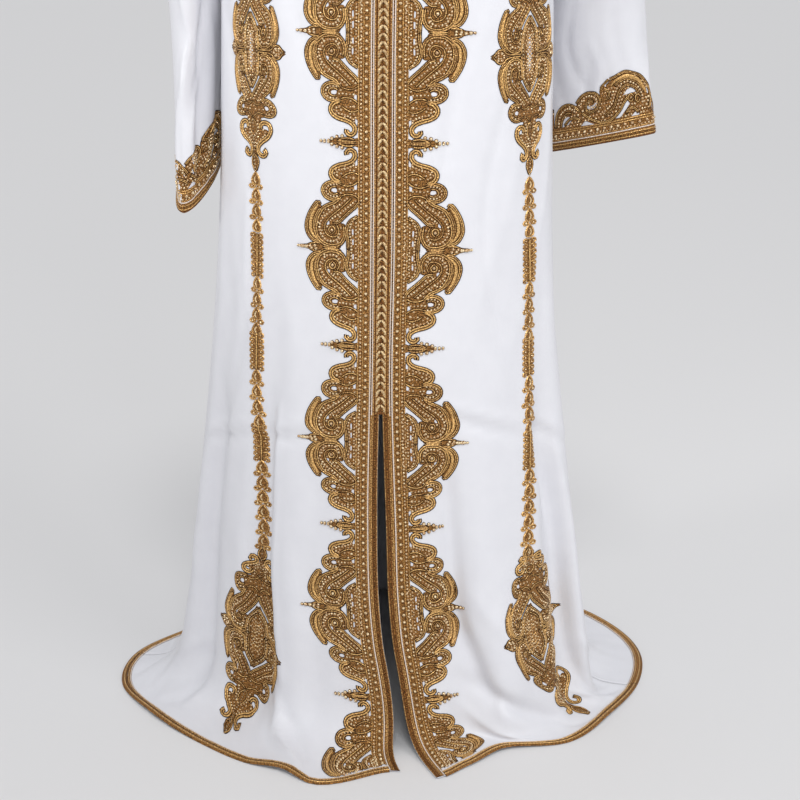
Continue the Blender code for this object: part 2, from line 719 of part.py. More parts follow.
# Raised goldwork.
for side, panel in fronts.items():
    end = above_hem(panel, 0.0, 0.15)
    stops = []
    for i, tip in enumerate(BORDER_TIPS):
        stops += mirrored_stops(BORDER_OUTLINE, tip, *border_halves(i))
    downs = panel.downs_between(NECK_BAND_WIDTH + 0.002, end, stops)
    lay(
        f"front_border_{side}",
        panel,
        downs,
        lambda d: BORDER_START,
        border_reach,
        gold,
        APPLIQUE_OVER_FOLDS,
        APPLIQUE,
    )
    for row in MEDALLIONS:
        end = min(row.centre + row.half_length, above_hem(panel, 0.20, 0.34))
        ends = (row.centre - row.half_length, end)
        stops = mirrored_stops(MEDALLION_OUTLINE, row.centre, row.half_length, row.half_length)
        downs = panel.downs_between(*ends, stops)

        def reach(down, row=row):
            return outline_reach(MEDALLION_OUTLINE, abs(down - row.centre) / row.half_length)

        lay(
            f"{row.name}_medallion_{side}",
            panel,
            downs,
            lambda d: axis_at(side, d) - reach(d),
            lambda d: axis_at(side, d) + reach(d),
            gold,
            row.gap,
            APPLIQUE,
        )
    downs = panel.downs_between(*CHAIN, np.arange(*CHAIN, CHAIN_PITCH / 2))
    lay(
        f"chain_{side}",
        panel,
        downs,
        lambda d: axis_at(side, d) - chain_reach(d),
        lambda d: axis_at(side, d) + chain_reach(d),
        gold,
        APPLIQUE_GAP,
        APPLIQUE,
    )
for side, panel in sleeves.items():
    cuff = panel.turned()

    def reach(down):
        turn = down / cuff.down[-1] * CUFF_REPEATS
        return outline_reach(CUFF_OUTLINE, abs(2 * (turn % 1) - 1))

    half = cuff.down[-1] / CUFF_REPEATS / 2
    stops = [s for k in (1, 3) for s in mirrored_stops(CUFF_OUTLINE, k * half, half, half)]
    downs = cuff.downs_between(0.0, cuff.down[-1], stops)
    lay(f"cuff_work_{side}", cuff, downs, lambda d: CUFF_START, reach, gold, APPLIQUE_GAP, APPLIQUE)
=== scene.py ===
import math
from collections import namedtuple

import bmesh
import bpy
import numpy as np
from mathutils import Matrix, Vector
from mathutils.geometry import delaunay_2d_cdt


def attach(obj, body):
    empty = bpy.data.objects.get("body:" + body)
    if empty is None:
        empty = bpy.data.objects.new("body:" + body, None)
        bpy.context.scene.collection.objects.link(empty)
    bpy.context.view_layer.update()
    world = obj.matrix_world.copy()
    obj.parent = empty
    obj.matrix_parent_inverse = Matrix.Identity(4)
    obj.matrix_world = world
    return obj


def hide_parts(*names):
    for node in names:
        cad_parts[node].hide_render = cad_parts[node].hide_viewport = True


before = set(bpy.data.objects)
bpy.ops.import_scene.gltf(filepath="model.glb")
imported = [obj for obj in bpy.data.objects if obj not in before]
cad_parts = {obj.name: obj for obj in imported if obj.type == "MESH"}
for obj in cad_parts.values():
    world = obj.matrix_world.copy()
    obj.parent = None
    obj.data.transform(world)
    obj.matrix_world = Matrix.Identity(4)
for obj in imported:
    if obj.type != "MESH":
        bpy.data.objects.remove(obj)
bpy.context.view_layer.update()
rng = np.random.default_rng(11)
mm = 0.001

# Metres and degrees. Heights are above the floor. The row frame's origin is the neck base.
body = dict(
    neckBase=1.430, neckPoint=1.425, neckHalfWidth=0.085, frontNeckDrop=0.085, backNeckDrop=0.020,
    shoulderHalfWidth=0.200, shoulderFall=0.348, shoulderRounding=0.110, shoulderGap=0.0009, gapFade=8,
    underarm=1.200, armholeScoop=16, armholeGap=0.0006, seamGap=0.0008, wall=0.0009,
    turned=0.15,  # the right side stands nearer the front by this share of its distance out
    breakHeight=0.115, floorGap=0.002,  # where the skirt bends out, and the hem's height over the floor
    neckColumns=5, columnStep=9.4, foldClear=3, skirtRows=16, trainRows=7, sleeveRows=11,
)
# Coarse rows from the neckline down to the underarm, and the fine steps in each coarse one.
upperShares = (0.0, 0.07, 0.17, 0.3, 0.44, 0.58, 0.72, 0.86, 1.0)
fine = dict(columns=6, upperRows=5, skirtRows=7, trainRows=5, sleeveRows=6)
bandWidths = dict(front=0.0135, hem=0.013, cuff=0.013)

# How far the body reaches from its middle at each height.
Section = namedtuple("Section", "height left right front back")
sections = (
    Section(0.06, 0.305, 0.285, 0.242, 0.255),
    Section(0.13, 0.294, 0.278, 0.232, 0.242),
    Section(0.27, 0.279, 0.262, 0.208, 0.216),
    Section(0.42, 0.262, 0.247, 0.190, 0.194),
    Section(0.57, 0.247, 0.233, 0.174, 0.174),
    Section(0.78, 0.234, 0.226, 0.158, 0.156),
    Section(0.99, 0.228, 0.223, 0.144, 0.142),
    Section(1.08, 0.224, 0.220, 0.136, 0.130),
    Section(1.20, 0.225, 0.225, 0.134, 0.122),
    Section(1.28, 0.232, 0.232, 0.127, 0.114),
    Section(1.34, 0.238, 0.238, 0.112, 0.102),
    Section(1.40, 0.243, 0.243, 0.088, 0.080),
    Section(1.46, 0.246, 0.246, 0.060, 0.055),
)

# Folds that fall to the floor. An angle is 0 at the front and 90 at the right. Each begins at its top and
# stands out, or in where it is below zero, by its depth where the skirt bends.
Fold = namedtuple("Fold", "angle halfWidth top depth")
folds = (
    Fold(-79, 12, 0.95, 0.012),
    Fold(-64, 10, 0.85, -0.014),
    Fold(-39, 9, 0.62, -0.020),
    Fold(-28, 9, 0.80, 0.010),
    Fold(20, 12, 0.55, -0.016),
    Fold(34, 11, 0.60, 0.008),
    Fold(62, 10, 0.80, -0.015),
    Fold(75, 10, 0.95, 0.012),
    Fold(93, 10, 0.90, -0.014),
    Fold(112, 14, 0.98, 0.018),
    Fold(131, 11, 0.90, -0.014),
    Fold(148, 13, 0.92, 0.017),
    Fold(166, 11, 0.95, -0.013),
    Fold(184, 14, 0.98, 0.020),
    Fold(202, 11, 0.88, -0.015),
    Fold(219, 13, 0.94, 0.016),
    Fold(237, 11, 0.90, -0.013),
    Fold(253, 13, 0.96, 0.015),
)

# The hem's reach round the body, and where it lifts off the floor.
Hem = namedtuple("Hem", "angle reach lift")
hemLine = (
    Hem(-180, 0.350, 0.000),
    Hem(-150, 0.338, 0.005),
    Hem(-116, 0.350, 0.000),
    Hem(-98, 0.390, 0.000),
    Hem(-83, 0.397, 0.000),
    Hem(-68, 0.381, 0.004),
    Hem(-49, 0.370, 0.000),
    Hem(-36, 0.372, 0.000),
    Hem(-27, 0.371, 0.006),
    Hem(-20, 0.386, 0.000),
    Hem(-3, 0.330, 0.000),
    Hem(3, 0.352, 0.000),
    Hem(14, 0.322, 0.002),
    Hem(25, 0.296, 0.004),
    Hem(45, 0.335, 0.000),
    Hem(63, 0.346, 0.003),
    Hem(84, 0.371, 0.000),
    Hem(104, 0.389, 0.000),
    Hem(121, 0.382, 0.004),
    Hem(150, 0.366, 0.000),
    Hem(180, 0.350, 0.000),
)

# The gap between the fronts at each height, and how far its middle is to the right.
Opening = namedtuple("Opening", "height width middle")
opening = (
    Opening(0.000, 0.034, 0.033),
    Opening(0.060, 0.017, 0.018),
    Opening(0.140, 0.014, 0.001),
    Opening(0.200, 0.0135, -0.005),
    Opening(0.310, 0.0120, -0.008),
    Opening(0.400, 0.0080, -0.009),
    Opening(0.458, 0.0050, -0.009),
    Opening(0.700, 0.0050, -0.006),
    Opening(1.000, 0.0050, -0.004),
    Opening(1.200, 0.0050, 0.000),
    Opening(1.460, 0.0050, 0.000),
)

# Rings of a sleeve from the shoulder to the cuff: centre, half sizes, and the tilts of its two axes.
Ring = namedtuple("Ring", "x y height halfOut halfFront rise turn dip")
sleeveRings = dict(
    right=(
        Ring(0.241, 0.000, 1.282, 0.090, 0.074, 83, 0, 0),
        Ring(0.266, 0.000, 1.249, 0.084, 0.077, 66, 0, 0),
        Ring(0.284, 0.002, 1.204, 0.076, 0.079, 50, 0, 0),
        Ring(0.293, 0.012, 1.143, 0.067, 0.080, 34, -4, 0),
        Ring(0.293, 0.032, 1.070, 0.062, 0.074, 18, -14, 0),
        Ring(0.286, 0.060, 0.985, 0.064, 0.060, 8, -24, 0),
        Ring(0.289, 0.078, 0.900, 0.076, 0.049, 8, -29, 0),
        Ring(0.293, 0.085, 0.832, 0.086, 0.039, 11, -32, 0),
        Ring(0.298, 0.088, 0.784, 0.090, 0.033, 14, -33, 0),
    ),
    left=(
        Ring(0.240, 0.000, 1.282, 0.090, 0.074, 83, 0, 0),
        Ring(0.263, 0.000, 1.249, 0.081, 0.077, 66, 0, 0),
        Ring(0.278, 0.004, 1.204, 0.069, 0.079, 50, 0, 0),
        Ring(0.279, 0.012, 1.143, 0.056, 0.080, 34, 0, 0),
        Ring(0.273, 0.030, 1.070, 0.046, 0.080, 18, 0, 0),
        Ring(0.266, 0.056, 0.985, 0.037, 0.081, 6, 2, 2),
        Ring(0.265, 0.056, 0.900, 0.033, 0.083, 3, 8, 8),
        Ring(0.265, 0.050, 0.822, 0.029, 0.086, 2, 12, 18),
        Ring(0.266, 0.045, 0.742, 0.024, 0.088, 0, 14, 28),
    ),
)

# Creases in each panel's own cloth, from one place down and across it to another. They stand out, or in
# where the depth is below zero.
Crease = namedtuple("Crease", "down0 across0 down1 across1 width depth bow", defaults=(0.12,))
creases = dict(
    frontLeft=(
        Crease(0.36, 0.120, 0.90, 0.108, 0.007, -0.0016),
        Crease(0.45, 0.160, 0.95, 0.149, 0.007, 0.0018),
        Crease(0.36, 0.262, 0.93, 0.262, 0.012, -0.0030),
        Crease(0.922, 0.162, 0.908, 0.098, 0.0064, 0.0034, 0),
        Crease(0.934, 0.160, 0.920, 0.100, 0.0062, -0.0052, 0),
        Crease(0.960, 0.316, 0.925, 0.205, 0.0064, 0.0030, 0),
        Crease(0.972, 0.318, 0.937, 0.205, 0.0060, -0.0044, 0),
        Crease(0.90, 0.147, 1.27, 0.163, 0.0055, 0.0064, 0),
        Crease(0.92, 0.164, 1.24, 0.184, 0.0110, -0.0055, 0),
        Crease(0.95, 0.287, 1.29, 0.366, 0.0190, -0.0200, 0),
        Crease(0.60, 0.315, 0.95, 0.338, 0.030, -0.0060, 0),
        Crease(0.93, 0.350, 1.15, 0.398, 0.024, -0.0080, 0),
        Crease(1.13, 0.398, 1.34, 0.458, 0.024, -0.0070, 0),
        Crease(1.318, 0.170, 1.400, 0.148, 0.0100, 0.0100),
        Crease(1.318, 0.154, 1.392, 0.134, 0.0060, -0.0048),
        Crease(1.270, 0.343, 1.385, 0.476, 0.007, 0.0040),
        Crease(1.290, 0.330, 1.385, 0.430, 0.008, -0.0040),
        Crease(1.326, 0.307, 1.382, 0.372, 0.006, 0.0030),
        Crease(1.345, 0.520, 1.392, 0.560, 0.006, -0.0030),
    ),
    frontRight=(
        Crease(0.872, 0.075, 0.906, 0.185, 0.0068, 0.0038, 0),
        Crease(0.885, 0.080, 0.920, 0.186, 0.0064, -0.0056, 0),
        Crease(0.905, 0.222, 0.938, 0.285, 0.0064, 0.0034, 0),
        Crease(0.916, 0.218, 0.950, 0.284, 0.0062, -0.0048, 0),
        Crease(0.97, 0.084, 1.20, 0.096, 0.0120, -0.0100, 0),
        Crease(1.18, 0.095, 1.285, 0.123, 0.0120, -0.0120, 0),
        Crease(1.275, 0.118, 1.330, 0.210, 0.0120, -0.0110, 0),
        Crease(1.30, 0.085, 1.37, 0.150, 0.0140, 0.0060, 0),
        Crease(1.16, 0.130, 1.26, 0.180, 0.010, 0.0044),
        Crease(0.940, 0.236, 1.270, 0.298, 0.0135, -0.0150, -0.02),
        Crease(0.955, 0.268, 1.270, 0.324, 0.0100, 0.0085, 0.02),
        Crease(1.06, 0.352, 1.32, 0.392, 0.0220, -0.0130, 0),
        Crease(1.00, 0.226, 1.16, 0.262, 0.009, 0.0042),
        Crease(1.247, 0.318, 1.385, 0.430, 0.006, 0.0046),
        Crease(1.265, 0.305, 1.400, 0.405, 0.007, -0.0046),
        Crease(1.322, 0.293, 1.408, 0.372, 0.005, 0.0040),
        Crease(1.350, 0.233, 1.410, 0.300, 0.006, -0.0034),
        Crease(1.300, 0.360, 1.390, 0.455, 0.005, 0.0032),
        Crease(0.20, 0.118, 0.74, 0.128, 0.010, 0.0020),
        Crease(0.15, 0.166, 0.80, 0.180, 0.009, 0.0022),
        Crease(0.40, 0.188, 0.88, 0.197, 0.007, -0.0022),
        Crease(0.30, 0.142, 0.88, 0.150, 0.009, -0.0018),
    ),
    back=(
        Crease(0.28, 0.210, 0.80, 0.224, 0.010, 0.0036),
        Crease(0.36, 0.252, 0.98, 0.262, 0.012, -0.0050),
        Crease(0.40, 0.150, 0.90, 0.140, 0.011, -0.0040),
        Crease(0.55, 0.480, 1.10, 0.540, 0.012, 0.0050),
        Crease(0.62, 0.430, 1.18, 0.468, 0.013, -0.0066),
        Crease(0.88, 0.185, 1.20, 0.160, 0.010, 0.0052),
        Crease(0.93, 0.330, 1.24, 0.362, 0.010, -0.0060),
        Crease(1.02, 0.300, 1.30, 0.318, 0.008, 0.0044),
        Crease(1.16, 0.520, 1.32, 0.590, 0.008, 0.0046),
        Crease(1.18, 0.270, 1.34, 0.252, 0.009, -0.0046),
        Crease(1.12, 0.080, 1.30, 0.066, 0.009, 0.0050),
        Crease(1.00, 0.120, 1.26, 0.104, 0.010, -0.0056),
        Crease(0.930, 0.240, 0.955, 0.320, 0.004, -0.0030),
        Crease(0.918, 0.400, 0.930, 0.470, 0.004, -0.0026),
        Crease(1.24, 0.420, 1.36, 0.460, 0.008, 0.0044),
    ),
    sleeveRight=(
        Crease(0.05, 0.040, 0.18, 0.085, 0.008, -0.0030),
        Crease(0.10, 0.095, 0.27, 0.105, 0.007, 0.0026),
        Crease(0.25, 0.085, 0.37, 0.100, 0.006, -0.0034),
        Crease(0.33, 0.125, 0.402, 0.110, 0.005, -0.0036),
        Crease(0.35, 0.150, 0.402, 0.133, 0.005, -0.0030),
        Crease(0.31, 0.112, 0.405, 0.121, 0.004, 0.0026),
        Crease(0.20, 0.060, 0.40, 0.072, 0.008, -0.0026),
        Crease(0.18, 0.160, 0.36, 0.165, 0.007, -0.0022),
        Crease(0.20, 0.183, 0.40, 0.192, 0.006, 0.0028),
        Crease(0.08, 0.300, 0.26, 0.280, 0.009, 0.0040),
        Crease(0.24, 0.330, 0.40, 0.310, 0.008, -0.0036),
        Crease(0.16, 0.370, 0.30, 0.390, 0.007, 0.0028),
    ),
    sleeveLeft=(
        Crease(0.05, 0.050, 0.20, 0.080, 0.008, -0.0028),
        Crease(0.10, 0.090, 0.27, 0.088, 0.0050, 0.0060),
        Crease(0.26, 0.086, 0.33, 0.096, 0.0050, 0.0044),
        Crease(0.31, 0.096, 0.475, 0.090, 0.0050, 0.0056),
        Crease(0.12, 0.076, 0.27, 0.074, 0.0060, -0.0044),
        Crease(0.26, 0.074, 0.33, 0.084, 0.0060, -0.0044),
        Crease(0.31, 0.085, 0.475, 0.078, 0.0050, -0.0036),
        Crease(0.29, 0.064, 0.475, 0.058, 0.0060, 0.0040),
        Crease(0.22, 0.047, 0.475, 0.040, 0.0090, -0.0040),
        Crease(0.05, 0.066, 0.475, 0.062, 0.0160, -0.0100, 0.0),
        Crease(0.34, 0.132, 0.52, 0.130, 0.0220, -0.0040),
        Crease(0.10, 0.310, 0.28, 0.290, 0.009, -0.0036),
        Crease(0.22, 0.360, 0.42, 0.345, 0.008, 0.0034),
    ),
)


def column(table, name):
    return np.array([getattr(row, name) for row in table], float)


# A value between a table's rows, on a smooth curve through them.
def smooth(table, key, value, at):
    xs, ys = column(table, key), column(table, value)
    slope = np.gradient(ys, xs)
    at = np.clip(np.asarray(at, float), xs[0], xs[-1])
    i = np.clip(np.searchsorted(xs, at, side="right") - 1, 0, len(xs) - 2)
    step = xs[i + 1] - xs[i]
    t = (at - xs[i]) / step
    near = (1 + 2 * t) * (1 - t) ** 2 * ys[i] + t * (1 - t) ** 2 * step * slope[i]
    far = t * t * (3 - 2 * t) * ys[i + 1] + t * t * (t - 1) * step * slope[i + 1]
    return near + far


foldGrowth = dict(mostShare=1.2, power=1.5)  # how a fold deepens on its way down


def foldDepth(angle, height):
    total = np.zeros_like(np.asarray(angle, float) + height)
    for fold in folds:
        away = (angle - fold.angle + 180) % 360 - 180
        bump = np.cos(np.clip(away / fold.halfWidth, -1, 1) * math.pi / 2) ** 2
        share = np.clip((fold.top - height) / (fold.top - body["breakHeight"]), 0, foldGrowth["mostShare"])
        total = total + fold.depth * bump * share ** foldGrowth["power"]
    return total


def frontWeight(angle):
    return np.clip(np.cos(np.radians(angle)), 0, 1) ** 2


def bodyPoints(angle, height):
    turn = np.radians(angle)
    right, left = smooth(sections, "height", "right", height), smooth(sections, "height", "left", height)
    front, back = smooth(sections, "height", "front", height), smooth(sections, "height", "back", height)
    out = np.where(np.sin(turn) >= 0, right, left)
    deep = np.where(np.cos(turn) >= 0, front, back)
    x, y = out * np.sin(turn), -deep * np.cos(turn)
    across, along = x / out**2, y / deep**2
    size = np.hypot(across, along)
    depth = foldDepth(angle, height)
    x = x + depth * across / size + smooth(opening, "height", "middle", height) * frontWeight(angle)
    y = y + depth * along / size - body["turned"] * x
    return np.stack([x, y, np.full_like(x, height)], -1)


# The bend on to the floor is a curve with two handles: one down the skirt and one back from the hem.
bend = dict(stepAbove=0.02, downHandle=0.90, hemHandle=0.80, handleLift=0.6, frontFade=1.5)


def trainPoints(angle, share):
    height, ground = body["breakHeight"], body["floorGap"]
    start = bodyPoints(angle, height)
    above = bodyPoints(angle, height + bend["stepAbove"])
    bearing = np.degrees(np.arctan2(start[:, 0], -start[:, 1]))
    reach = smooth(hemLine, "angle", "reach", bearing)
    lift = np.clip(smooth(hemLine, "angle", "lift", bearing), 0, 1)
    swing = opening[0].middle * frontWeight(angle)
    turn = np.radians(bearing)
    end = np.stack([reach * np.sin(turn) + swing, -reach * np.cos(turn), ground + lift], -1)
    away = end - start
    away[:, 2] = 0
    down = start - above
    down = down / np.linalg.norm(down, axis=1, keepdims=True)
    first = start + down * height * bend["downHandle"]
    last = end - away * bend["hemHandle"]
    last[:, 2] = ground + lift * bend["handleLift"]
    t = share
    return (1 - t) ** 3 * start + 3 * (1 - t) ** 2 * t * first + 3 * (1 - t) * t * t * last + t**3 * end


def shoulderLine(x):
    return body["neckPoint"] - body["shoulderFall"] * (np.abs(x) - body["neckHalfWidth"])


# Neckline then shoulder seam, at fractional column places from the middle.
def topEdge(drop, places, count):
    turn = np.clip(places / body["neckColumns"], 0, 1) * math.pi / 2
    seam = np.clip((places - body["neckColumns"]) / (count - body["neckColumns"]), 0, 1)
    seamX = body["neckHalfWidth"] + (body["shoulderHalfWidth"] - body["neckHalfWidth"]) * seam
    onNeck = places <= body["neckColumns"]
    x = np.where(onNeck, body["neckHalfWidth"] * np.sin(turn), seamX)
    z = np.where(onNeck, body["neckPoint"] - drop * np.cos(turn) ** 2, shoulderLine(seamX))
    return x, z


def upperPoints(topX, topZ, below, share, sign, face):
    side = "right" if sign > 0 else "left"
    height = topZ + (body["underarm"] - topZ) * share
    wide = smooth(sections, "height", side, height)
    deep = smooth(sections, "height", "front" if face < 0 else "back", height)
    top = np.arcsin(topX / smooth(sections, "height", side, topZ))
    along = np.linspace(0, 1, len(topX)) ** 2
    scoop = math.radians(body["armholeScoop"]) * np.sin(math.pi * share) * along
    turn = top + (below - top) * share - scoop
    x = wide * np.sin(turn)
    fall = np.clip((shoulderLine(x) - height) / body["shoulderRounding"], 0, 1)
    depth = deep * np.cos(turn) * np.sqrt(1 - (1 - fall) ** 2)
    gap = body["shoulderGap"] * (1 - share) ** body["gapFade"]
    y = face * (depth + gap) - body["turned"] * sign * x
    return np.stack([sign * x, y, height], -1)


trials = dict(count=121, power=2.5)  # trial points down a column, closest together at its top


# Rows down to the underarm. The first coarse row lies at the neck band's inner edge.
def upperRows(topX, topZ, below, sign, face):
    shares = np.linspace(0, 1, trials["count"]) ** trials["power"]
    dense = np.array([upperPoints(topX, topZ, below, np.full(len(topX), s), sign, face) for s in shares])
    steps = np.linalg.norm(np.diff(dense, axis=0), axis=2)
    lengths = np.concatenate([np.zeros((1, len(topX))), np.cumsum(steps, axis=0)])
    rows = []
    for k in range((len(upperShares) - 1) * fine["upperRows"]):
        place = k / fine["upperRows"]
        reach = np.empty(len(topX))
        for c in range(len(topX)):
            marks = np.array(upperShares) * lengths[-1, c]
            marks[1] = bandWidths["front"]
            reach[c] = np.interp(np.interp(place, np.arange(len(marks)), marks), lengths[:, c], shares)
        rows.append(upperPoints(topX, topZ, below, reach, sign, face))
    return rows


# Rows from the underarm to the hem, for the angles of the columns at a height.
def lowerRows(angles, fade):
    heights = np.linspace(body["underarm"], body["breakHeight"], body["skirtRows"] * fine["skirtRows"] + 1)
    skirt = [bodyPoints(angles(h), h) for h in heights]
    count = body["trainRows"] * fine["trainRows"]
    shares = np.arange(1, count + 1) / count
    return skirt + [trainPoints(angles(body["breakHeight"] * (1 - s) ** fade), s) for s in shares]


# A cloth surface: rows of points, outward normals and distances along the cloth.
class Cloth:
    overhang = 0.6  # how far work may lie past an edge, in columns
    batch = 40000  # places laid on the cloth at once, to spare memory

    def __init__(self, points, normals):
        self.points, self.normals = np.array(points), np.array(normals)
        steps = np.linalg.norm(np.diff(self.points, axis=1), axis=2)
        self.across = np.concatenate([np.zeros((len(steps), 1)), np.cumsum(steps, axis=1)], axis=1)
        drops = np.linalg.norm(np.diff(self.points, axis=0), axis=2)
        self.down = np.concatenate([[0], np.cumsum(drops[:, 0])])
        self.fromEnd = np.concatenate([np.cumsum(drops[::-1], axis=0)[::-1], np.zeros((1, drops.shape[1]))])

    # Seen from its end: down then runs along a row, and across runs up from the last row.
    def turnedRound(self):
        return Cloth(self.points[::-1].transpose(1, 0, 2), self.normals[::-1].transpose(1, 0, 2))

    def cell(self, down, across):
        i = np.clip(np.searchsorted(self.down, down, side="right") - 1, 0, len(self.down) - 2)
        t = np.clip((down - self.down[i]) / (self.down[i + 1] - self.down[i]), 0, 1)
        lines = self.across[i] * (1 - t)[:, None] + self.across[i + 1] * t[:, None]
        j = np.clip((lines <= across[:, None]).sum(axis=1) - 1, 0, lines.shape[1] - 2)
        k = np.arange(len(j))
        s = (across - lines[k, j]) / np.maximum(lines[k, j + 1] - lines[k, j], 1e-9)
        return i, j, t, np.clip(s, -self.overhang, 1 + self.overhang)

    def blend(self, grid, i, j, t, s):
        shape = (-1,) + (1,) * (grid.ndim - 2)
        t, s = t.reshape(shape), s.reshape(shape)
        top = grid[i, j] * (1 - s) + grid[i, j + 1] * s
        return top * (1 - t) + (grid[i + 1, j] * (1 - s) + grid[i + 1, j + 1] * s) * t

    # Places that stand out from the cloth, and their distances from its end.
    def at(self, down, across, out):
        places, ends = [], []
        for first in range(0, len(down), self.batch):
            part = slice(first, first + self.batch)
            cell = self.cell(down[part], across[part])
            normal = self.blend(self.normals, *cell)
            normal /= np.linalg.norm(normal, axis=1, keepdims=True)
            places.append(self.blend(self.points, *cell) + out[part, None] * normal)
            ends.append(self.blend(self.fromEnd, *cell))
        return np.concatenate(places), np.concatenate(ends)


# Normals that point away from the middle. A closed cloth's last column is its first again.
def outward(points, middle, closed=False):
    if closed:
        ring = np.concatenate([points[:, -2:-1], points, points[:, 1:2]], axis=1)
        around = np.gradient(ring, axis=1)[:, 1:-1]
    else:
        around = np.gradient(points, axis=1)
    normals = np.cross(around, np.gradient(points, axis=0))
    normals /= np.linalg.norm(normals, axis=2, keepdims=True)
    return normals if ((points - middle) * normals).sum() > 0 else -normals


# Angles of the coarse columns: one on every fold, and even ones between.
def foldColumns(first, last):
    lines = sorted(f.angle % 360 for f in folds)
    low, high = min(first, last), max(first, last)
    clear = body["foldClear"]
    inner = [a - 360 * k for k in (0, 1) for a in lines if low + clear < a - 360 * k < high - clear]
    stops = [low] + sorted(inner) + [high]
    found = [low]
    for a, b in zip(stops, stops[1:]):
        parts = math.ceil((b - a) / body["columnStep"])
        found += [a + (b - a) * k / parts for k in range(1, parts + 1)]
    return np.array(found if first < last else found[::-1])


def finer(values, parts):
    count = len(values) - 1
    return np.interp(np.arange(count * parts + 1) / parts, np.arange(count + 1), values)


creaseShape = dict(endFade=2.5, atEnds=0.55, swell=0.45, ridge=1.35, trough=2.0)
# Hung satin is never quite even: heights in metres, waves in radians to the metre.
uneven = dict(broad=0.0004, slant=(41, 23), counter=(9, 57), narrow=0.0003, stripes=131, waver=(17, 2))
sewnFade = dict(end=0.02, start=0.03, frontEdge=0.012, sideSeam=0.02)


# The cloth with its creases and a slight unevenness, faded out at sewn edges.
def creased(cloth, name, closed=False):
    down, across = cloth.down[:, None], cloth.across
    lift = np.zeros_like(across)
    for c in creases[name]:
        ends = np.array([c.down1 - c.down0, c.across1 - c.across0])
        length = np.hypot(*ends)
        run, side = ends / length, np.array([-ends[1], ends[0]]) / length
        along = (down - c.down0) * run[0] + (across - c.across0) * run[1]
        bow = c.bow * length * np.sin(np.clip(along / length, 0, 1) * math.pi)
        off = (down - c.down0) * side[0] + (across - c.across0) * side[1] - bow * np.sign(c.depth)
        past = np.clip(np.maximum(-along, along - length) / (creaseShape["endFade"] * c.width), 0, None)
        middling = np.sin(np.clip(along / length, 0, 1) * math.pi)
        swell = creaseShape["atEnds"] + creaseShape["swell"] * middling
        sharp = creaseShape["ridge"] if c.depth > 0 else creaseShape["trough"]
        lift += c.depth * swell * np.exp(-(np.abs(off / c.width) ** sharp) - past**2)
    phase = len(name)
    (slantDown, slantAcross), (counterDown, counterAcross) = uneven["slant"], uneven["counter"]
    slant = np.sin(down * slantDown + across * slantAcross + phase)
    lift += uneven["broad"] * slant * np.sin(across * counterAcross - down * counterDown + phase)
    waver = np.sin(down * uneven["waver"][0]) * uneven["waver"][1]
    lift += uneven["narrow"] * np.sin(across * uneven["stripes"] + waver + phase)
    fade = np.clip(cloth.fromEnd / sewnFade["end"], 0, 1) * np.clip(down / sewnFade["start"], 0, 1)
    if not closed:
        fade = fade * np.clip(across / sewnFade["frontEdge"], 0, 1)
        fade = fade * np.clip((across[:, -1:] - across) / sewnFade["sideSeam"], 0, 1)
    points = cloth.points + (lift * fade)[..., None] * cloth.normals
    if closed:
        points[:, -1] = points[:, 0]
    return points


def frontCloth(side):
    sign = 1 if side == "right" else -1
    coarse = np.abs(foldColumns(0, sign * 90)) / 90
    spread = finer(coarse, fine["columns"])
    places = np.arange(len(spread)) / fine["columns"]

    def angles(height):
        half = smooth(opening, "height", "width", height) / 2
        edge = np.degrees(np.arcsin(half / smooth(sections, "height", side, height)))
        seam = 90 - math.degrees(body["seamGap"] / 2 / smooth(sections, "height", "front", height))
        return sign * (edge + (seam - edge) * spread)

    topX, topZ = topEdge(body["frontNeckDrop"], places, len(coarse) - 1)
    topX = topX + opening[-1].width / 2 * (1 - places / places[-1]) ** 2
    upper = upperRows(topX, topZ, np.radians(np.abs(angles(body["underarm"]))), sign, -1)
    points = np.array(upper + lowerRows(angles, bend["frontFade"]))
    return Cloth(points, outward(points, points * (0, 0, 1)))


def backCloth():
    coarse = foldColumns(90, 270)
    spread = finer(coarse, fine["columns"])
    middle = len(coarse) // 2
    places = np.arange(len(spread)) / fine["columns"]
    split = middle * fine["columns"]

    def angles(height):
        seam = math.degrees(body["seamGap"] / 2 / smooth(sections, "height", "back", height))
        return 180 + (spread - 180) * (1 - seam / 90)

    rightX, rightZ = topEdge(body["backNeckDrop"], places[: split + 1], middle)
    leftX, leftZ = topEdge(body["backNeckDrop"], places[split:] - middle, len(coarse) - 1 - middle)
    below = np.radians(180 - angles(body["underarm"]))
    rights = upperRows(rightX, rightZ, below[split::-1], 1, 1)
    lefts = upperRows(leftX, leftZ, -below[split:], -1, 1)
    upper = [np.concatenate([right[::-1], left[1:]]) for right, left in zip(rights, lefts)]
    points = np.array(upper + lowerRows(angles, 0))
    return Cloth(points, outward(points, points * (0, 0, 1)))


sleeveShape = dict(evenRing=4, straightened=0.6)  # the first even ring, and the turn lost by the cuff


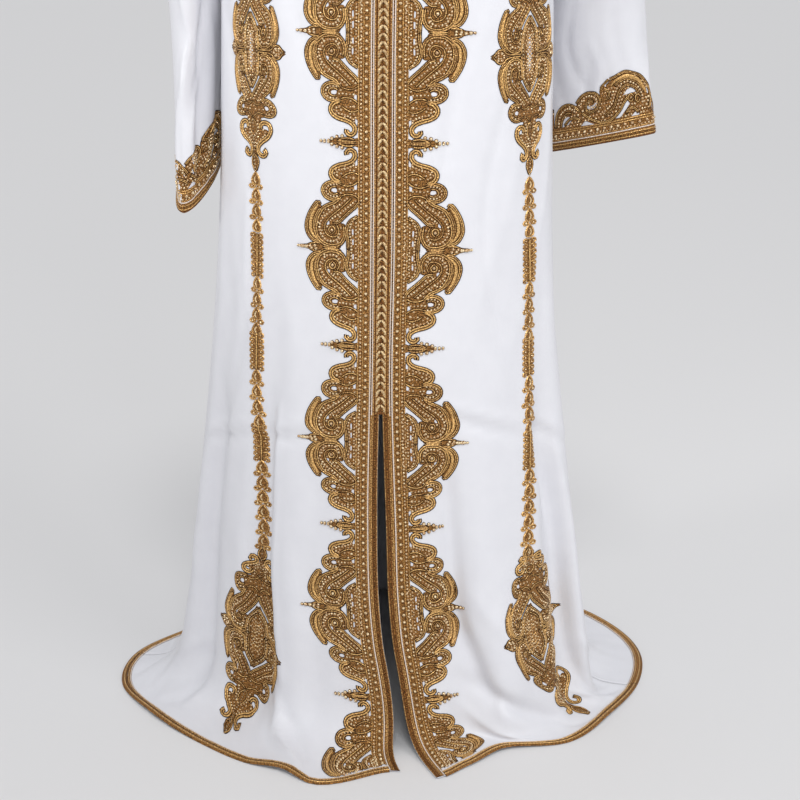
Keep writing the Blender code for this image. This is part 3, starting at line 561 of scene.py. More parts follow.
# A sleeve's first ring is the armhole that the front and back leave. Its rings are joined by smooth curves.
def sleeveCloth(side, front, backEdge):
    sign = 1 if side == "right" else -1
    table = sleeveRings[side]
    rows = (len(upperShares) - 1) * fine["upperRows"]
    shoulder = (front.points[0, -1] + backEdge[0]) / 2
    loop = np.concatenate([front.points[rows:0:-1, -1], [shoulder], backEdge[1:rows]])
    middle = loop.mean(axis=0)
    own = np.arctan2(middle[1] - loop[:, 1], middle[2] - loop[:, 2]) % (2 * math.pi)
    own[0] = 0.0
    even = np.arange(len(loop)) * 2 * math.pi / len(loop)
    rings = [loop + (sign * body["armholeGap"], 0, 0)]
    for k in range(1, body["sleeveRows"] + 1):
        at = (k - 1) / (body["sleeveRows"] - 1) * (len(table) - 1)
        x, y, z, out, deep, rise, turn, dip = (
            np.interp(at, np.arange(len(table)), column(table, name)) for name in Ring._fields
        )
        angle = own + (even - own) * min(1.0, k / sleeveShape["evenRing"])
        rise, turn, dip = np.radians([rise, turn, dip])
        away = np.array([math.cos(rise) * math.cos(turn), math.cos(rise) * math.sin(turn), math.sin(rise)])
        forward = np.array([math.sin(turn) * math.cos(dip), -math.cos(turn) * math.cos(dip), -math.sin(dip)])
        ring = (x, y, z) - np.cos(angle)[:, None] * out * away + np.sin(angle)[:, None] * deep * forward
        shear = body["turned"] * sign * x * (1 - sleeveShape["straightened"] * k / body["sleeveRows"])
        rings.append(ring * (sign, 1, 1) - (0, shear, 0))
    rings = np.array([np.concatenate([ring, ring[:1]]) for ring in rings])
    points = []
    for place in np.arange(body["sleeveRows"] * fine["sleeveRows"] + 1) / fine["sleeveRows"]:
        k = min(int(place), body["sleeveRows"] - 1)
        t = place - k
        a, b = rings[k], rings[k + 1]
        before = (b - rings[k - 1]) / 2 if k else b - a
        after = (rings[k + 2] - a) / 2 if k + 2 < len(rings) else b - a
        blend = (2 * t**3 - 3 * t**2 + 1) * a + (t**3 - 2 * t**2 + t) * before
        points.append(blend + (3 * t**2 - 2 * t**3) * b + (t**3 - t**2) * after)
    points = np.array(points)
    return Cloth(points, outward(points, points[:, :-1].mean(axis=1, keepdims=True), closed=True))


print("cloth surfaces")
cloths = {"frontLeft": frontCloth("left"), "frontRight": frontCloth("right"), "back": backCloth()}
backEdges = {"left": cloths["back"].points[:, -1], "right": cloths["back"].points[:, 0]}
cloths["sleeveLeft"] = sleeveCloth("left", cloths["frontLeft"], backEdges["left"])
cloths["sleeveRight"] = sleeveCloth("right", cloths["frontRight"], backEdges["right"])
for name, cloth in list(cloths.items()):
    closed = name.startswith("sleeve")
    points = creased(cloth, name, closed)
    middle = points[:, :-1].mean(axis=1, keepdims=True) if closed else points * (0, 0, 1)
    cloths[name] = Cloth(points, outward(points, middle, closed))


def gridFaces(rows, columns):
    k = np.arange(rows * columns).reshape(rows, columns)
    return np.stack([k[:-1, :-1], k[1:, :-1], k[1:, 1:], k[:-1, 1:]], -1).reshape(-1, 4)


# One texture unit is a centimetre of the flat cloth.
def uvLayer(mesh, flat):
    corners = np.empty(len(mesh.loops), int)
    mesh.loops.foreach_get("vertex_index", corners)
    layer = mesh.uv_layers.new(name="cloth")
    layer.data.foreach_set("uv", (flat[corners] * 100).ravel())


def newObject(name, data):
    made = bpy.data.objects.new(name, data)
    bpy.context.scene.collection.objects.link(made)
    return made


def clothPiece(name, cloth, node, look):
    quads = gridFaces(*cloth.points.shape[:2])
    places = cloth.points.reshape(-1, 3)
    facing = np.cross(places[quads[:, 2]] - places[quads[:, 0]], places[quads[:, 3]] - places[quads[:, 1]])
    if (facing * cloth.normals.reshape(-1, 3)[quads[:, 0]]).sum() < 0:
        quads = quads[:, ::-1]
    mesh = bpy.data.meshes.new(name)
    mesh.from_pydata((places - (0, 0, body["neckBase"])).tolist(), [], quads.tolist())
    mesh.shade_smooth()
    down = np.broadcast_to(cloth.down[:, None], cloth.across.shape)
    uvLayer(mesh, np.stack([cloth.across.ravel(), down.ravel()], -1))
    mesh.materials.append(look)
    made = newObject(name, mesh)
    wall = made.modifiers.new("wall", "SOLIDIFY")
    wall.thickness = body["wall"]
    wall.offset = -1
    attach(made, "root")
    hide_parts(node)
    return made


# A smooth curve through a few points.
def curve(points, closed=False, parts=10):
    p = np.array(points, float)
    if closed:
        p = np.concatenate([p[-1:], p, p[:2]])
    else:
        p = np.concatenate([2 * p[:1] - p[1:2], p, 2 * p[-1:] - p[-2:-1]])
    found = []
    for a, b, c, d in zip(p, p[1:], p[2:], p[3:]):
        t = np.arange(parts)[:, None] / parts
        found.append(0.5 * (2 * b + (c - a) * t + (2 * a - 5 * b + 4 * c - d) * t**2
                            + (3 * b - a - 3 * c + d) * t**3))
    return np.concatenate(found + [p[-2:-1]])


def resampled(path, step):
    lengths = np.concatenate([[0], np.cumsum(np.linalg.norm(np.diff(path, axis=0), axis=1))])
    count = max(2, int(round(lengths[-1] / step)) + 1)
    at = np.linspace(0, lengths[-1], count)
    return np.stack([np.interp(at, lengths, path[:, k]) for k in (0, 1)], -1)


def ringed(outline, step):
    return resampled(np.concatenate([outline, outline[:1]]), step)


def sides(path):
    run = np.gradient(path, axis=0)
    run /= np.maximum(np.linalg.norm(run, axis=1, keepdims=True), 1e-9)
    return np.stack([-run[:, 1], run[:, 0]], -1)


def inside(points, outline):
    found = np.zeros(len(points), bool)
    for (x0, y0), (x1, y1) in zip(outline, np.roll(outline, -1, axis=0)):
        crosses = (y0 > points[:, 1]) != (y1 > points[:, 1])
        at = x0 + (points[:, 1] - y0) * (x1 - x0) / (y1 - y0 if y1 != y0 else 1e-12)
        found ^= crosses & (points[:, 0] < at)
    return found


# Points down the cloth at one distance across it.
def lane(downs, across):
    downs = np.asarray(downs, float)
    return np.stack([downs, np.broadcast_to(across, downs.shape)], -1)


# Metres, or shares of a thread's radius.
stitch = dict(
    step=0.0033, rise=0.95, tuck=0.0004,
    # The groove keys size the strip of painted shade along a cord: how far it reaches past the cord, and its
    # height.
    pairSpread=1.15, pairShade=2.15, shadeMargin=0.0008, shadeHeight=0.00072,
    leafStep=0.0026, leafParts=4, leafSpan=(0.06, 0.94), leafPoint=0.6, leafMost=0.0022, leafRise=0.8,
    beadFoot=-0.3, beadShoulder=0.72, beadShoulderRise=0.66,
    plateEdgeStep=0.004, plateHoleStep=0.003, plateSpacing=0.007, plateClear=0.45,
)


# Needlework gathered in flat cloth, then laid on a curved one. Flat points are (down, across).
class Work:
    def __init__(self):
        self.flat, self.out, self.tone, self.faces, self.looks = [], [], [], [], []
        self.count = 0

    # A triangle's fourth corner is -1. Without a tone, the thread gets one at random.
    def add(self, flat, out, faces, look, tone=None):
        tone = rng.uniform() if tone is None else tone
        if faces.shape[1] == 3:
            faces = np.concatenate([faces, np.full((len(faces), 1), -1)], axis=1)
        self.flat.append(flat)
        self.out.append(out)
        self.tone.append(np.broadcast_to(tone, len(flat)))
        self.faces.append(np.where(faces < 0, -1, faces + self.count))
        self.looks.append(np.full(len(faces), look))
        self.count += len(flat)

    # A rounded rise along a path, with its edges tucked into the cloth.
    def rise(self, path, size, height, lift, parts, look, tone):
        turn = np.linspace(0, math.pi, parts + 1)
        flat = path[:, None] + sides(path)[:, None] * (np.cos(turn)[:, None] * size[:, None, None])
        out = lift + np.sin(turn) * height[:, None]
        out[:, [0, -1]] = lift - stitch["tuck"]
        self.add(flat.reshape(-1, 2), out.ravel(), gridFaces(len(path), parts + 1), look, tone)

    # A rounded cord. Two lifts give its height over the cloth at its start and at its end.
    def cord(self, path, radius, look, lift=0.0004, step=stitch["step"], parts=3, taper=0.35, tone=None):
        path = resampled(path, step)
        size = np.full(len(path), float(radius))
        size[[0, -1]] *= taper
        lift = np.linspace(*np.broadcast_to(lift, 2), len(path))[:, None]
        self.rise(path, size, size * stitch["rise"], lift, parts, look, tone)

    # A padded leaf, widest at its middle.
    def leaf(self, path, radius, look, lift=0.0006, tone=None):
        path = resampled(path, stitch["leafStep"])
        size = np.sin(np.linspace(*stitch["leafSpan"], len(path)) * math.pi) ** stitch["leafPoint"] * radius
        height = np.minimum(size, stitch["leafMost"]) * stitch["leafRise"]
        self.rise(path, size, height, lift, stitch["leafParts"], look, tone)

    # Painted shade on both sides of a couched cord: a near-black strip under it.
    def grooveShade(self, path, reach):
        path = resampled(path, stitch["step"])
        side = sides(path) * reach
        self.strip(path - side, path + side, stitch["shadeHeight"], shadeAndDots)

    def pair(self, path, radius, look, tone=None):
        path = resampled(path, stitch["step"])
        side = sides(path) * radius * stitch["pairSpread"]
        self.grooveShade(path, radius * stitch["pairShade"] + stitch["shadeMargin"])
        self.cord(path + side, radius, look, tone=tone)
        self.cord(path - side, radius, look, tone=tone)

    # Each is a wall, a sloping shoulder and a point, and has its own tone.
    def beads(self, centres, radius, look, lift=0.0006, around=6, tone=None):
        turn = np.arange(around) * 2 * math.pi / around
        ring = np.stack([np.cos(turn), np.sin(turn)], -1)
        shape = np.concatenate([ring, ring * stitch["beadShoulder"], [[0, 0]]])
        rise = np.repeat([stitch["beadFoot"], stitch["beadShoulderRise"], 1.0], (around, around, 1))
        count = len(centres)
        radius = np.broadcast_to(radius, count)
        flat = centres[:, None] + shape * radius[:, None, None]
        out = lift + rise * radius[:, None]
        a = np.arange(around)
        b = (a + 1) % around
        walls = np.stack([a, b, b + around, a + around], -1)
        caps = np.stack([a + around, b + around, np.full(around, 2 * around), np.full(around, -1)], -1)
        first = (np.arange(count) * len(shape))[:, None, None]
        faces = np.concatenate([walls + first, np.where(caps < 0, -1, caps + first)], axis=1)
        tones = rng.uniform(0, 1, count) if tone is None else np.full(count, tone)
        self.add(flat.reshape(-1, 2), out.ravel(), faces.reshape(-1, 4), look, np.repeat(tones, len(shape)))

    def strip(self, low, high, out, look):
        flat = np.stack([low, high], 1).reshape(-1, 2)
        self.add(flat, np.full(len(flat), out), gridFaces(len(low), 2), look, 0.5)

    # A flat patch inside an outline, without its holes.
    def plate(self, outline, out, look, holes=()):
        outline = ringed(outline, stitch["plateEdgeStep"])[:-1]
        holes = [ringed(hole, stitch["plateHoleStep"])[:-1] for hole in holes]
        spacing = stitch["plateSpacing"]
        low, high = outline.min(axis=0), outline.max(axis=0)
        ticks = [np.arange(low[k], high[k], spacing) for k in (0, 1)]
        grid = np.stack(np.meshgrid(*ticks), -1).reshape(-1, 2)
        grid = grid[inside(grid, outline)]
        rings = [outline, *holes]
        near = np.concatenate(rings)
        if len(grid):
            away = np.linalg.norm(grid[:, None] - near, axis=2).min(axis=1)
            grid = grid[away > spacing * stitch["plateClear"]]
        points = np.concatenate([*rings, grid])
        edges, first = [], 0
        for ring in rings:
            edges += [(first + k, first + (k + 1) % len(ring)) for k in range(len(ring))]
            first += len(ring)
        made = delaunay_2d_cdt([Vector(p) for p in points.tolist()], edges, [], 0, 1e-7)
        flat = np.array([tuple(v) for v in made[0]])
        tris = np.array([f for f in made[2] if len(f) == 3])
        middle = flat[tris].mean(axis=1)
        keep = inside(middle, outline)
        for hole in holes:
            keep &= ~inside(middle, hole)
        self.add(flat, np.full(len(flat), out), tris[keep], look, 0.5)

    # Faces above top, or nearer the cloth's end than clear, are dropped.
    def piece(self, name, cloth, nodes, clear=0.0, top=0.0):
        flat, out = np.concatenate(self.flat), np.concatenate(self.out)
        faces, looks = np.concatenate(self.faces), np.concatenate(self.looks)
        places, ends = cloth.at(flat[:, 0], flat[:, 1], out)
        lifted, _ = cloth.at(flat[:, 0], flat[:, 1], out + mm)
        away = lifted - places
        four = faces[:, 3] >= 0
        corners = np.where(four[:, None], faces, faces[:, [0, 1, 2, 2]])
        keep = (flat[corners, 0].min(axis=1) >= top) & (ends[corners].min(axis=1) >= clear)
        faces, looks, corners, four = faces[keep], looks[keep], corners[keep], four[keep]
        a, b = places[corners[:, 2]] - places[corners[:, 0]], places[corners[:, 3]] - places[corners[:, 1]]
        flip = (np.cross(a, b) * away[corners[:, 0]]).sum(axis=1) < 0
        listed = []
        for face, quad, back in zip(faces.tolist(), four, flip):
            face = face if quad else face[:3]
            listed.append(face[::-1] if back else face)
        mesh = bpy.data.meshes.new(name)
        mesh.from_pydata((places - (0, 0, body["neckBase"])).tolist(), [], listed)
        mesh.shade_smooth()
        uvLayer(mesh, flat[:, ::-1])
        mesh.attributes.new("tone", "FLOAT", "POINT").data.foreach_set("value", np.concatenate(self.tone))
        used = sorted(set(looks.tolist()))
        for look in used:
            mesh.materials.append(looksMade[look])
        mesh.polygons.foreach_set("material_index", np.searchsorted(used, looks).astype(np.int32))
        made = newObject(name, mesh)
        dropLoose(mesh, np.setdiff1d(np.arange(len(places)), np.unique(corners)))
        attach(made, "root")
        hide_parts(*nodes)
        print(name, len(mesh.polygons), "faces")
        return made


def dropLoose(mesh, loose):
    if not len(loose):
        return
    work = bmesh.new()
    work.from_mesh(mesh)
    work.verts.ensure_lookup_table()
    bmesh.ops.delete(work, geom=[work.verts[k] for k in loose], context="VERTS")
    work.to_mesh(mesh)
    work.free()


print("materials")


# Groups put out colours, masks and heights only.
def group(name, outputs):
    made = bpy.data.node_groups.new(name, "ShaderNodeTree")
    for socket, kind in outputs:
        made.interface.new_socket(socket, in_out="OUTPUT", socket_type=kind)
    uv = made.nodes.new("ShaderNodeUVMap")
    uv.uv_map = "cloth"
    return made, made.nodes.new("NodeGroupOutput"), uv.outputs["UV"]


def waves(tree, uv, scale, distortion):
    node = tree.nodes.new("ShaderNodeTexWave")
    node.bands_direction = "DIAGONAL"
    node.inputs["Scale"].default_value = scale
    node.inputs["Distortion"].default_value = distortion
    tree.links.new(uv, node.inputs["Vector"])
    return node.outputs["Fac"]


def noise(tree, uv, scale, detail):
    node = tree.nodes.new("ShaderNodeTexNoise")
    node.inputs["Scale"].default_value = scale
    node.inputs["Detail"].default_value = detail
    tree.links.new(uv, node.inputs["Vector"])
    return node.outputs["Fac"]


def mixed(tree, first, second, factor):
    node = tree.nodes.new("ShaderNodeMix")
    node.data_type = "RGBA"
    node.inputs[6].default_value = (*first, 1)
    node.inputs[7].default_value = (*second, 1)
    tree.links.new(factor, node.inputs["Factor"])
    return node.outputs[2]


satin = dict(twill=5.2, twillWaver=0.6, cloud=0.35, cloudDetail=3,
             shade=(0.715, 0.715, 0.755), white=(0.775, 0.775, 0.810))


def satinGrain():
    tree, end, uv = group("satinGrain", (("Tint", "NodeSocketColor"), ("Height", "NodeSocketFloat")))
    cloud = noise(tree, uv, satin["cloud"], satin["cloudDetail"])
    tree.links.new(mixed(tree, satin["shade"], satin["white"], cloud), end.inputs["Tint"])
    tree.links.new(waves(tree, uv, satin["twill"], satin["twillWaver"]), end.inputs["Height"])
    return tree


metalThread = dict(fleck=5.5, fleckDetail=4, contrast=3.4, start=-1.42, perThread=0.30,
                   twist=2.6, twistWaver=1.5)


# A mask that mixes dim and bright strands, and the twist's height.
def threadTone():
    tree, end, uv = group("threadTone", (("Mask", "NodeSocketFloat"), ("Height", "NodeSocketFloat")))
    tone = tree.nodes.new("ShaderNodeAttribute")
    tone.attribute_name = "tone"
    spread, both = (tree.nodes.new("ShaderNodeMath") for _ in range(2))
    for node in (spread, both):
        node.operation = "MULTIPLY_ADD"
    spread.inputs[1].default_value = metalThread["contrast"]
    spread.inputs[2].default_value = metalThread["start"]
    spread.use_clamp = True
    both.inputs[1].default_value = metalThread["perThread"]
    tree.links.new(noise(tree, uv, metalThread["fleck"], metalThread["fleckDetail"]), spread.inputs[0])
    tree.links.new(tone.outputs["Fac"], both.inputs[0])
    tree.links.new(spread.outputs[0], both.inputs[2])
    tree.links.new(both.outputs[0], end.inputs["Mask"])
    tree.links.new(waves(tree, uv, metalThread["twist"], metalThread["twistWaver"]), end.inputs["Height"])
    return tree


grain, thread = satinGrain(), threadTone()
Look = namedtuple("Look", "name dim bright roughness metallic bump depth shine sheen", defaults=(0.5, 0.0))
satinLook = Look("whiteSatin", None, None, 0.40, 0.0, 0.12, 0.0001, 0.5, 0.06)
threadLooks = (
    Look("goldCord", (0.16, 0.057, 0.011), (1.0, 0.62, 0.225), 0.28, 0.42, 0.6, 0.0003, 0.4),
    Look("goldBead", (0.38, 0.165, 0.045), (1.0, 0.86, 0.56), 0.15, 0.40, 0.1, 0.0001),
    # The next look is partly the work's own dark gold ground and partly painted shade between beads and
    # cords.
    Look("goldGroundAndShade", (0.014, 0.005, 0.001), (0.56, 0.260, 0.068), 0.50, 0.15, 1.0, 0.0006, 0.2),
    Look("whitePiping", (0.60, 0.49, 0.41), (0.93, 0.84, 0.75), 0.60, 0.0, 0.5, 0.0002),
    Look("paleBraid", (0.30, 0.15, 0.045), (1.0, 0.78, 0.45), 0.32, 0.34, 0.6, 0.0003),
    # The next look is painted shade: near-black strips, rings and outlines round cords, beads and plates. It
    # also colours the front band's own dark dots.
    Look("shadeAndDotThread", (0.010, 0.004, 0.001), (0.050, 0.020, 0.006), 0.60, 0.0, 0.4, 0.0002, 0.1),
    # The next look is partly brown thread and partly painted shade beside and under the plait.
    Look("brownThreadAndShade", (0.050, 0.016, 0.004), (0.30, 0.115, 0.030), 0.55, 0.15, 0.5, 0.0003, 0.2),
)
gold, bead, ground, piping, pale, shadeAndDots, brownAndShade = range(7)


# A look without colours of its own takes the group's tint, and others are mixed by the group's mask.
def material(look, tree):
    made = bpy.data.materials.new(look.name)
    made.use_nodes = True
    nodes, links = made.node_tree.nodes, made.node_tree.links
    shader = nodes["Principled BSDF"]
    used = nodes.new("ShaderNodeGroup")
    used.node_tree = tree
    if look.dim is None:
        links.new(used.outputs["Tint"], shader.inputs["Base Color"])
    else:
        colour = mixed(made.node_tree, look.dim, look.bright, used.outputs["Mask"])
        links.new(colour, shader.inputs["Base Color"])
    height = nodes.new("ShaderNodeBump")
    height.inputs["Strength"].default_value = look.bump
    height.inputs["Distance"].default_value = look.depth
    links.new(used.outputs["Height"], height.inputs["Height"])
    links.new(height.outputs["Normal"], shader.inputs["Normal"])
    shader.inputs["Roughness"].default_value = look.roughness
    shader.inputs["Metallic"].default_value = look.metallic
    shader.inputs["Specular IOR Level"].default_value = look.shine
    shader.inputs["Sheen Weight"].default_value = look.sheen
    return made


white = material(satinLook, grain)
looksMade = [material(look, thread) for look in threadLooks]

# The goldwork's drawing, in millimetres. On the border q is across from the front edge and p down from a
# tip, mirrored above and below it. On a medallion w is across from the middle and s down from it. A pair is
# two cords side by side, thick is a bright pair, a row is small beads, and big is single beads.
Line = namedtuple("Line", "kind size points")
scroll = (
    Line("pair", 1.2, ((50, 29), (49, 17), (55, 6.5), (67, 3.4), (79.5, 6), (88, 14), (90, 26), (87, 38),
                       (80, 49))),
    Line("pair", 1.0, ((83.5, 5.5), (96, 10.5), (103, 21), (102.5, 32), (97, 44.5), (87.5, 56.5), (84, 53))),
    Line("leaf", 2.3, ((86, 8.5), (95.5, 17.5), (97.5, 30), (93.5, 43), (86.5, 53))),
    Line("cord", 0.8, ((84, 10.5), (91.5, 18), (93.3, 29), (90, 40), (84, 49))),
    Line("row", 1.9, ((56, 18), (61, 10.5), (69, 8.8), (78, 12), (84, 20), (84, 29), (78.5, 38), (68, 46),
                      (56, 54), (46, 62))),
    Line("cord", 1.0, ((61, 30), (57, 22), (61, 15), (69, 14.5), (76, 19), (77, 28), (71, 37), (61, 45),
                       (50.5, 53.5), (40, 63))),
    Line("row", 1.7, ((66, 37), (54, 44.5), (44.5, 52), (34, 60))),
    Line("pair", 0.9, ((66, 32), (58, 32.5), (50.5, 39), (42.5, 46), (33, 54), (29, 60))),
    Line("pair", 1.1, ((84, 45), (78, 50), (70, 54), (62, 57.5), (55, 65))),
    Line("cord", 1.1, ((66.5, 18), (62.5, 21.5), (64, 26.6), (69.5, 26.8), (71.5, 22), (68, 18.4))),
    Line("pair", 1.1, ((55, 64), (64, 60.5), (73, 61.8), (79, 67), (79.3, 74), (73.5, 79.5), (64, 81.8),
                       (54, 80.5))),
    Line("cord", 1.0, ((58, 69), (63, 66.5), (69, 67.5), (71, 71.5), (67, 75.5), (60, 76))),
    Line("row", 1.7, ((60, 64.5), (68, 64.5), (74.5, 69), (74, 75), (68, 78.3), (60, 79))),
    Line("cord", 1.0, ((30, 63), (37, 67), (46, 67.5), (54, 65))),
    Line("cord", 1.0, ((30, 84), (38, 79), (47, 77.5), (54, 79))),
    Line("cord", 1.2, ((58, 1.2), (68, 0.8), (80, 1.2))),
)
borderLines = (
    Line("pair", 1.0, ((30.8, 41.3), (42.5, 33.5), (47, 21.5), (45, 12.2), (44.3, 0))),
    Line("row", 1.7, ((36, 38), (41, 29), (42, 20), (40, 10), (39.8, 0))),
    Line("row", 1.5, ((33.5, 33), (33.5, 20), (33.5, 2))),
    Line("thick", 1.4, ((56, 82), (64, 84.5), (68.5, 91.5), (65.5, 98), (57, 102.3), (48, 104.5), (39.5, 108),
                        (35, 113.5), (36, 119.5), (41.5, 122), (46.5, 119), (46, 115.5))),
    Line("row", 1.8, ((60, 90), (58.5, 96), (48, 98.5), (37, 103))),
    Line("cord", 1.0, ((30, 92), (38, 94.5), (46, 92.5), (53, 88))),
    Line("cord", 1.2, ((36, 127.5), (44, 126), (52, 127), (59, 130))),
    Line("cord", 1.2, ((34, 130), (48, 130), (60, 130))),
    Line("big", 2.9, ((52.5, 124), (60, 125.2), (67, 127.6))),
    Line("big", 2.3, ((71.5, 130.2), (77, 130.4), (82, 130.8))),
)
finialLines = (
    Line("cord", 1.1, ((82, 7), (88, 5.4), (94, 5.0), (100, 2.8))),
    Line("big", 2.4, ((91, 1.8), (97.5, 1.2))),
    Line("big", 2.8, ((104, 0), (110.5, 0))),
    Line("big", 2.0, ((116, 0),)),
)
medallionLines = (
    Line("pair", 1.0, ((0, 49), (7, 39.5), (11.5, 30.5), (14.2, 19), (14, 0))),
    Line("cord", 0.9, ((0, 41), (6.5, 33), (9.8, 25), (10.4, 12), (9.6, 0))),
    Line("row", 1.6, ((0, 45.5), (7.5, 36.5), (11.8, 27), (12.6, 12), (12, 0))),
    Line("cord", 1.1, ((14, 1.3), (28, 1.6), (37, 3), (43, 8.5), (49, 8.5), (54, 3.5), (57, 0))),
    Line("row", 1.7, ((38, 0), (47, 2.5), (53, 0))),
    Line("big", 2.3, ((44.5, 4.6), (50, 5))),
    Line("thick", 1.6, ((11, 103), (12, 96.5), (17, 94.5), (22, 98), (22.8, 106), (18.5, 114), (10.5, 121),
                        (6, 128), (6.5, 135), (11.5, 139), (16, 135), (13, 130))),
    Line("row", 1.8, ((14, 104), (17, 109), (12, 115), (7, 120), (3, 126))),
    Line("row", 1.8, ((9, 88), (7, 96), (8, 104), (4, 111), (0, 115))),
    Line("row", 1.7, ((0, 92), (0, 110))),
    Line("cord", 1.0, ((0, 89), (4.5, 96), (5.5, 103), (3, 110), (0, 113))),
    Line("cord", 1.3, ((0, 136), (5, 143), (5, 151), (0, 161))),
    Line("row", 1.9, ((0, 118), (0, 162))),
)
# Outlines of the beaded grounds, and of the places in them that show the satin.
scrollPlate = ((83.5, 5.5), (96, 10.5), (103, 21), (102.5, 32), (97, 44.5), (87, 57), (82, 51), (78, 51),
               (70, 55), (62, 58.5), (55, 66), (47, 72), (36, 66), (29, 60), (33, 53), (42.5, 45),
               (50.5, 38.5), (57, 32), (51, 31), (49, 29), (48, 17), (54, 6), (58, 0), (84, 0))
scrollHole = ((70.5, 30), (73, 28.2), (75.6, 29.5), (74, 33), (71, 34.5))
earPlate = ((29, 60), (36, 62), (47, 66), (56, 63), (64, 60), (73, 61.5), (79.5, 67), (80, 74), (74, 80),
            (64, 82.5), (54, 83), (44, 84), (29, 84))
earHole = ((60, 69.5), (64, 68.8), (68, 70.5), (67, 73.4), (63, 74.4), (59.8, 73.5))
earSlit = ((32.5, 74), (36, 73), (36.5, 81), (32.5, 82))
lensPlate = ((23, 47), (30.8, 41.3), (43.5, 32.8), (48, 21.5), (45.5, 12.2), (45, 0), (23, 0))
lensHoles = (((36.6, 6), (38.6, 5), (39, 13), (36.6, 14)), ((36.8, 18), (39, 18), (39.2, 26), (37, 26)))
hookPlate = ((29, 84), (56, 84), (64, 84.5), (69, 92), (66.5, 99), (58, 103.5), (49, 105.5), (39, 108),
             (29, 112))
hookSlit = ((31.5, 104), (35, 102), (34.5, 108), (32, 114))
finialPlate = ((83, 0), (82, 8), (90, 6), (97, 5), (102, 3.0), (113, 1.2), (113, 0))
halfwayPlate = ((29, 125), (36, 127), (46, 125), (58, 126.5), (66, 128), (70, 131), (29, 131))
almondSide = ((0, 51), (6.5, 41), (11.5, 32), (14.6, 21), (14.8, 0))
almondPlates = dict(
    upper=almondSide + ((4.6, 0), (4.6, 13), (3.4, 20), (0, 25)),
    lower=almondSide + ((0, 0),),
)
stemPlate = ((12, 0), (12, 2.6), (28, 2.8), (36, 4), (42, 9.6), (50, 9.6), (55, 4.5), (58, 0))
lyrePlate = ((0, 86), (11, 88), (12, 96), (11, 104), (17, 104), (20, 108), (12, 117), (5, 122), (2, 130),
             (5, 142), (5, 152), (0, 163))

# Distances are in mm. A dip is how deep an underlay of painted shade sits in the cloth.
drawing = dict(
    lineStep=3.0, outlineStep=2.0, jitter=0.4, rowShare=0.866, rowPitch=4.5, shadeMargin=0.7, leafEdge=1,
    leafDip=1.0, bigDip=1.2, thickTone=0.85, leafTone=0.9, plateLift=0.5, plateCord=0.9, plateDip=0.4,
    fillSizes=(1.3, 1.9), fillSides=5,
)


def allAlong(lines):
    return np.concatenate([resampled(curve(line.points), drawing["lineStep"]) for line in lines])


# Uneven rows of places inside an outline and out of its holes, clear of its edge and the drawn lines.
def scattered(outline, holes, avoid, pitch, clear):
    outline = np.array(outline, float)
    low, high = outline.min(axis=0), outline.max(axis=0)
    found = []
    for k, y in enumerate(np.arange(low[1], high[1], pitch * drawing["rowShare"])):
        for x in np.arange(low[0] + (k % 2) * pitch / 2, high[0], pitch):
            found.append((x, y))
    found = np.array(found) + rng.uniform(-drawing["jitter"], drawing["jitter"], (len(found), 2))
    keep = inside(found, outline)
    for hole in holes:
        keep &= ~inside(found, np.array(hole, float))
    found = found[keep]
    near = np.concatenate([avoid, ringed(outline, drawing["outlineStep"])])
    return found[np.linalg.norm(found[:, None] - near, axis=2).min(axis=1) > clear]


def draw(work, lines, place, size=1.0):
    for line in lines:
        path = place(curve(line.points))
        radius = line.size * mm * size
        if line.kind == "pair":
            work.pair(path, radius, gold)
        elif line.kind == "thick":
            work.pair(path, radius, gold, tone=drawing["thickTone"])
        elif line.kind == "cord":
            work.grooveShade(path, (line.size + drawing["shadeMargin"]) * mm * size)
            work.cord(path, radius, gold)
        elif line.kind == "leaf":
            # Under a leaf and under a big bead lies a wider sunk copy in painted shade, which shows as a dark
            # outline.
            work.leaf(path, (line.size + drawing["leafEdge"]) * mm * size, shadeAndDots, -drawing["leafDip"] * mm)
            work.leaf(path, radius, gold, tone=drawing["leafTone"])
        elif line.kind == "big":
            spots = place(np.array(line.points, float))
            work.beads(spots, (line.size + drawing["shadeMargin"]) * mm * size, shadeAndDots, -drawing["bigDip"] * mm)
            work.beads(spots, radius, bead)
        else:
            work.beads(resampled(path, drawing["rowPitch"] * mm), radius, bead)


scrollFill = scattered(scrollPlate, [scrollHole], allAlong(scroll), pitch=5.0, clear=2.6)
earFill = scattered(earPlate, [earHole, earSlit], allAlong(scroll), pitch=5.0, clear=2.7)
lensFill = scattered(lensPlate, lensHoles, allAlong(borderLines[:3]), pitch=5.0, clear=2.6)
hookFill = scattered(hookPlate, [hookSlit], allAlong(borderLines[3:6]), pitch=5.0, clear=2.6)
almondFill = scattered(almondPlates["lower"], [], allAlong(medallionLines[:3]), pitch=4.2, clear=2.2)
lyreFill = scattered(lyrePlate, [], allAlong(medallionLines[4:]), pitch=4.6, clear=2.4)


# Beaded grounds and drawn lines, put in their place on the cloth.
def stamp(work, place, lines, plates, fills, size=1.0):
    for outline, holes in plates:
        flatHoles = [place(np.array(hole, float)) for hole in holes]
        edge = place(curve(outline, closed=True, parts=3))
        # The plate's dark ground is partly painted shade between the beads, and the dark cord round its edge
        # is painted shade.
        work.plate(edge, drawing["plateLift"] * mm, ground, flatHoles)
        work.cord(edge, drawing["plateCord"] * mm, shadeAndDots, -drawing["plateDip"] * mm)
    for fill in fills:
        sizes = rng.uniform(*drawing["fillSizes"], len(fill)) * mm * size
        work.beads(place(fill), sizes, bead, around=drawing["fillSides"])
    draw(work, lines, place, size)


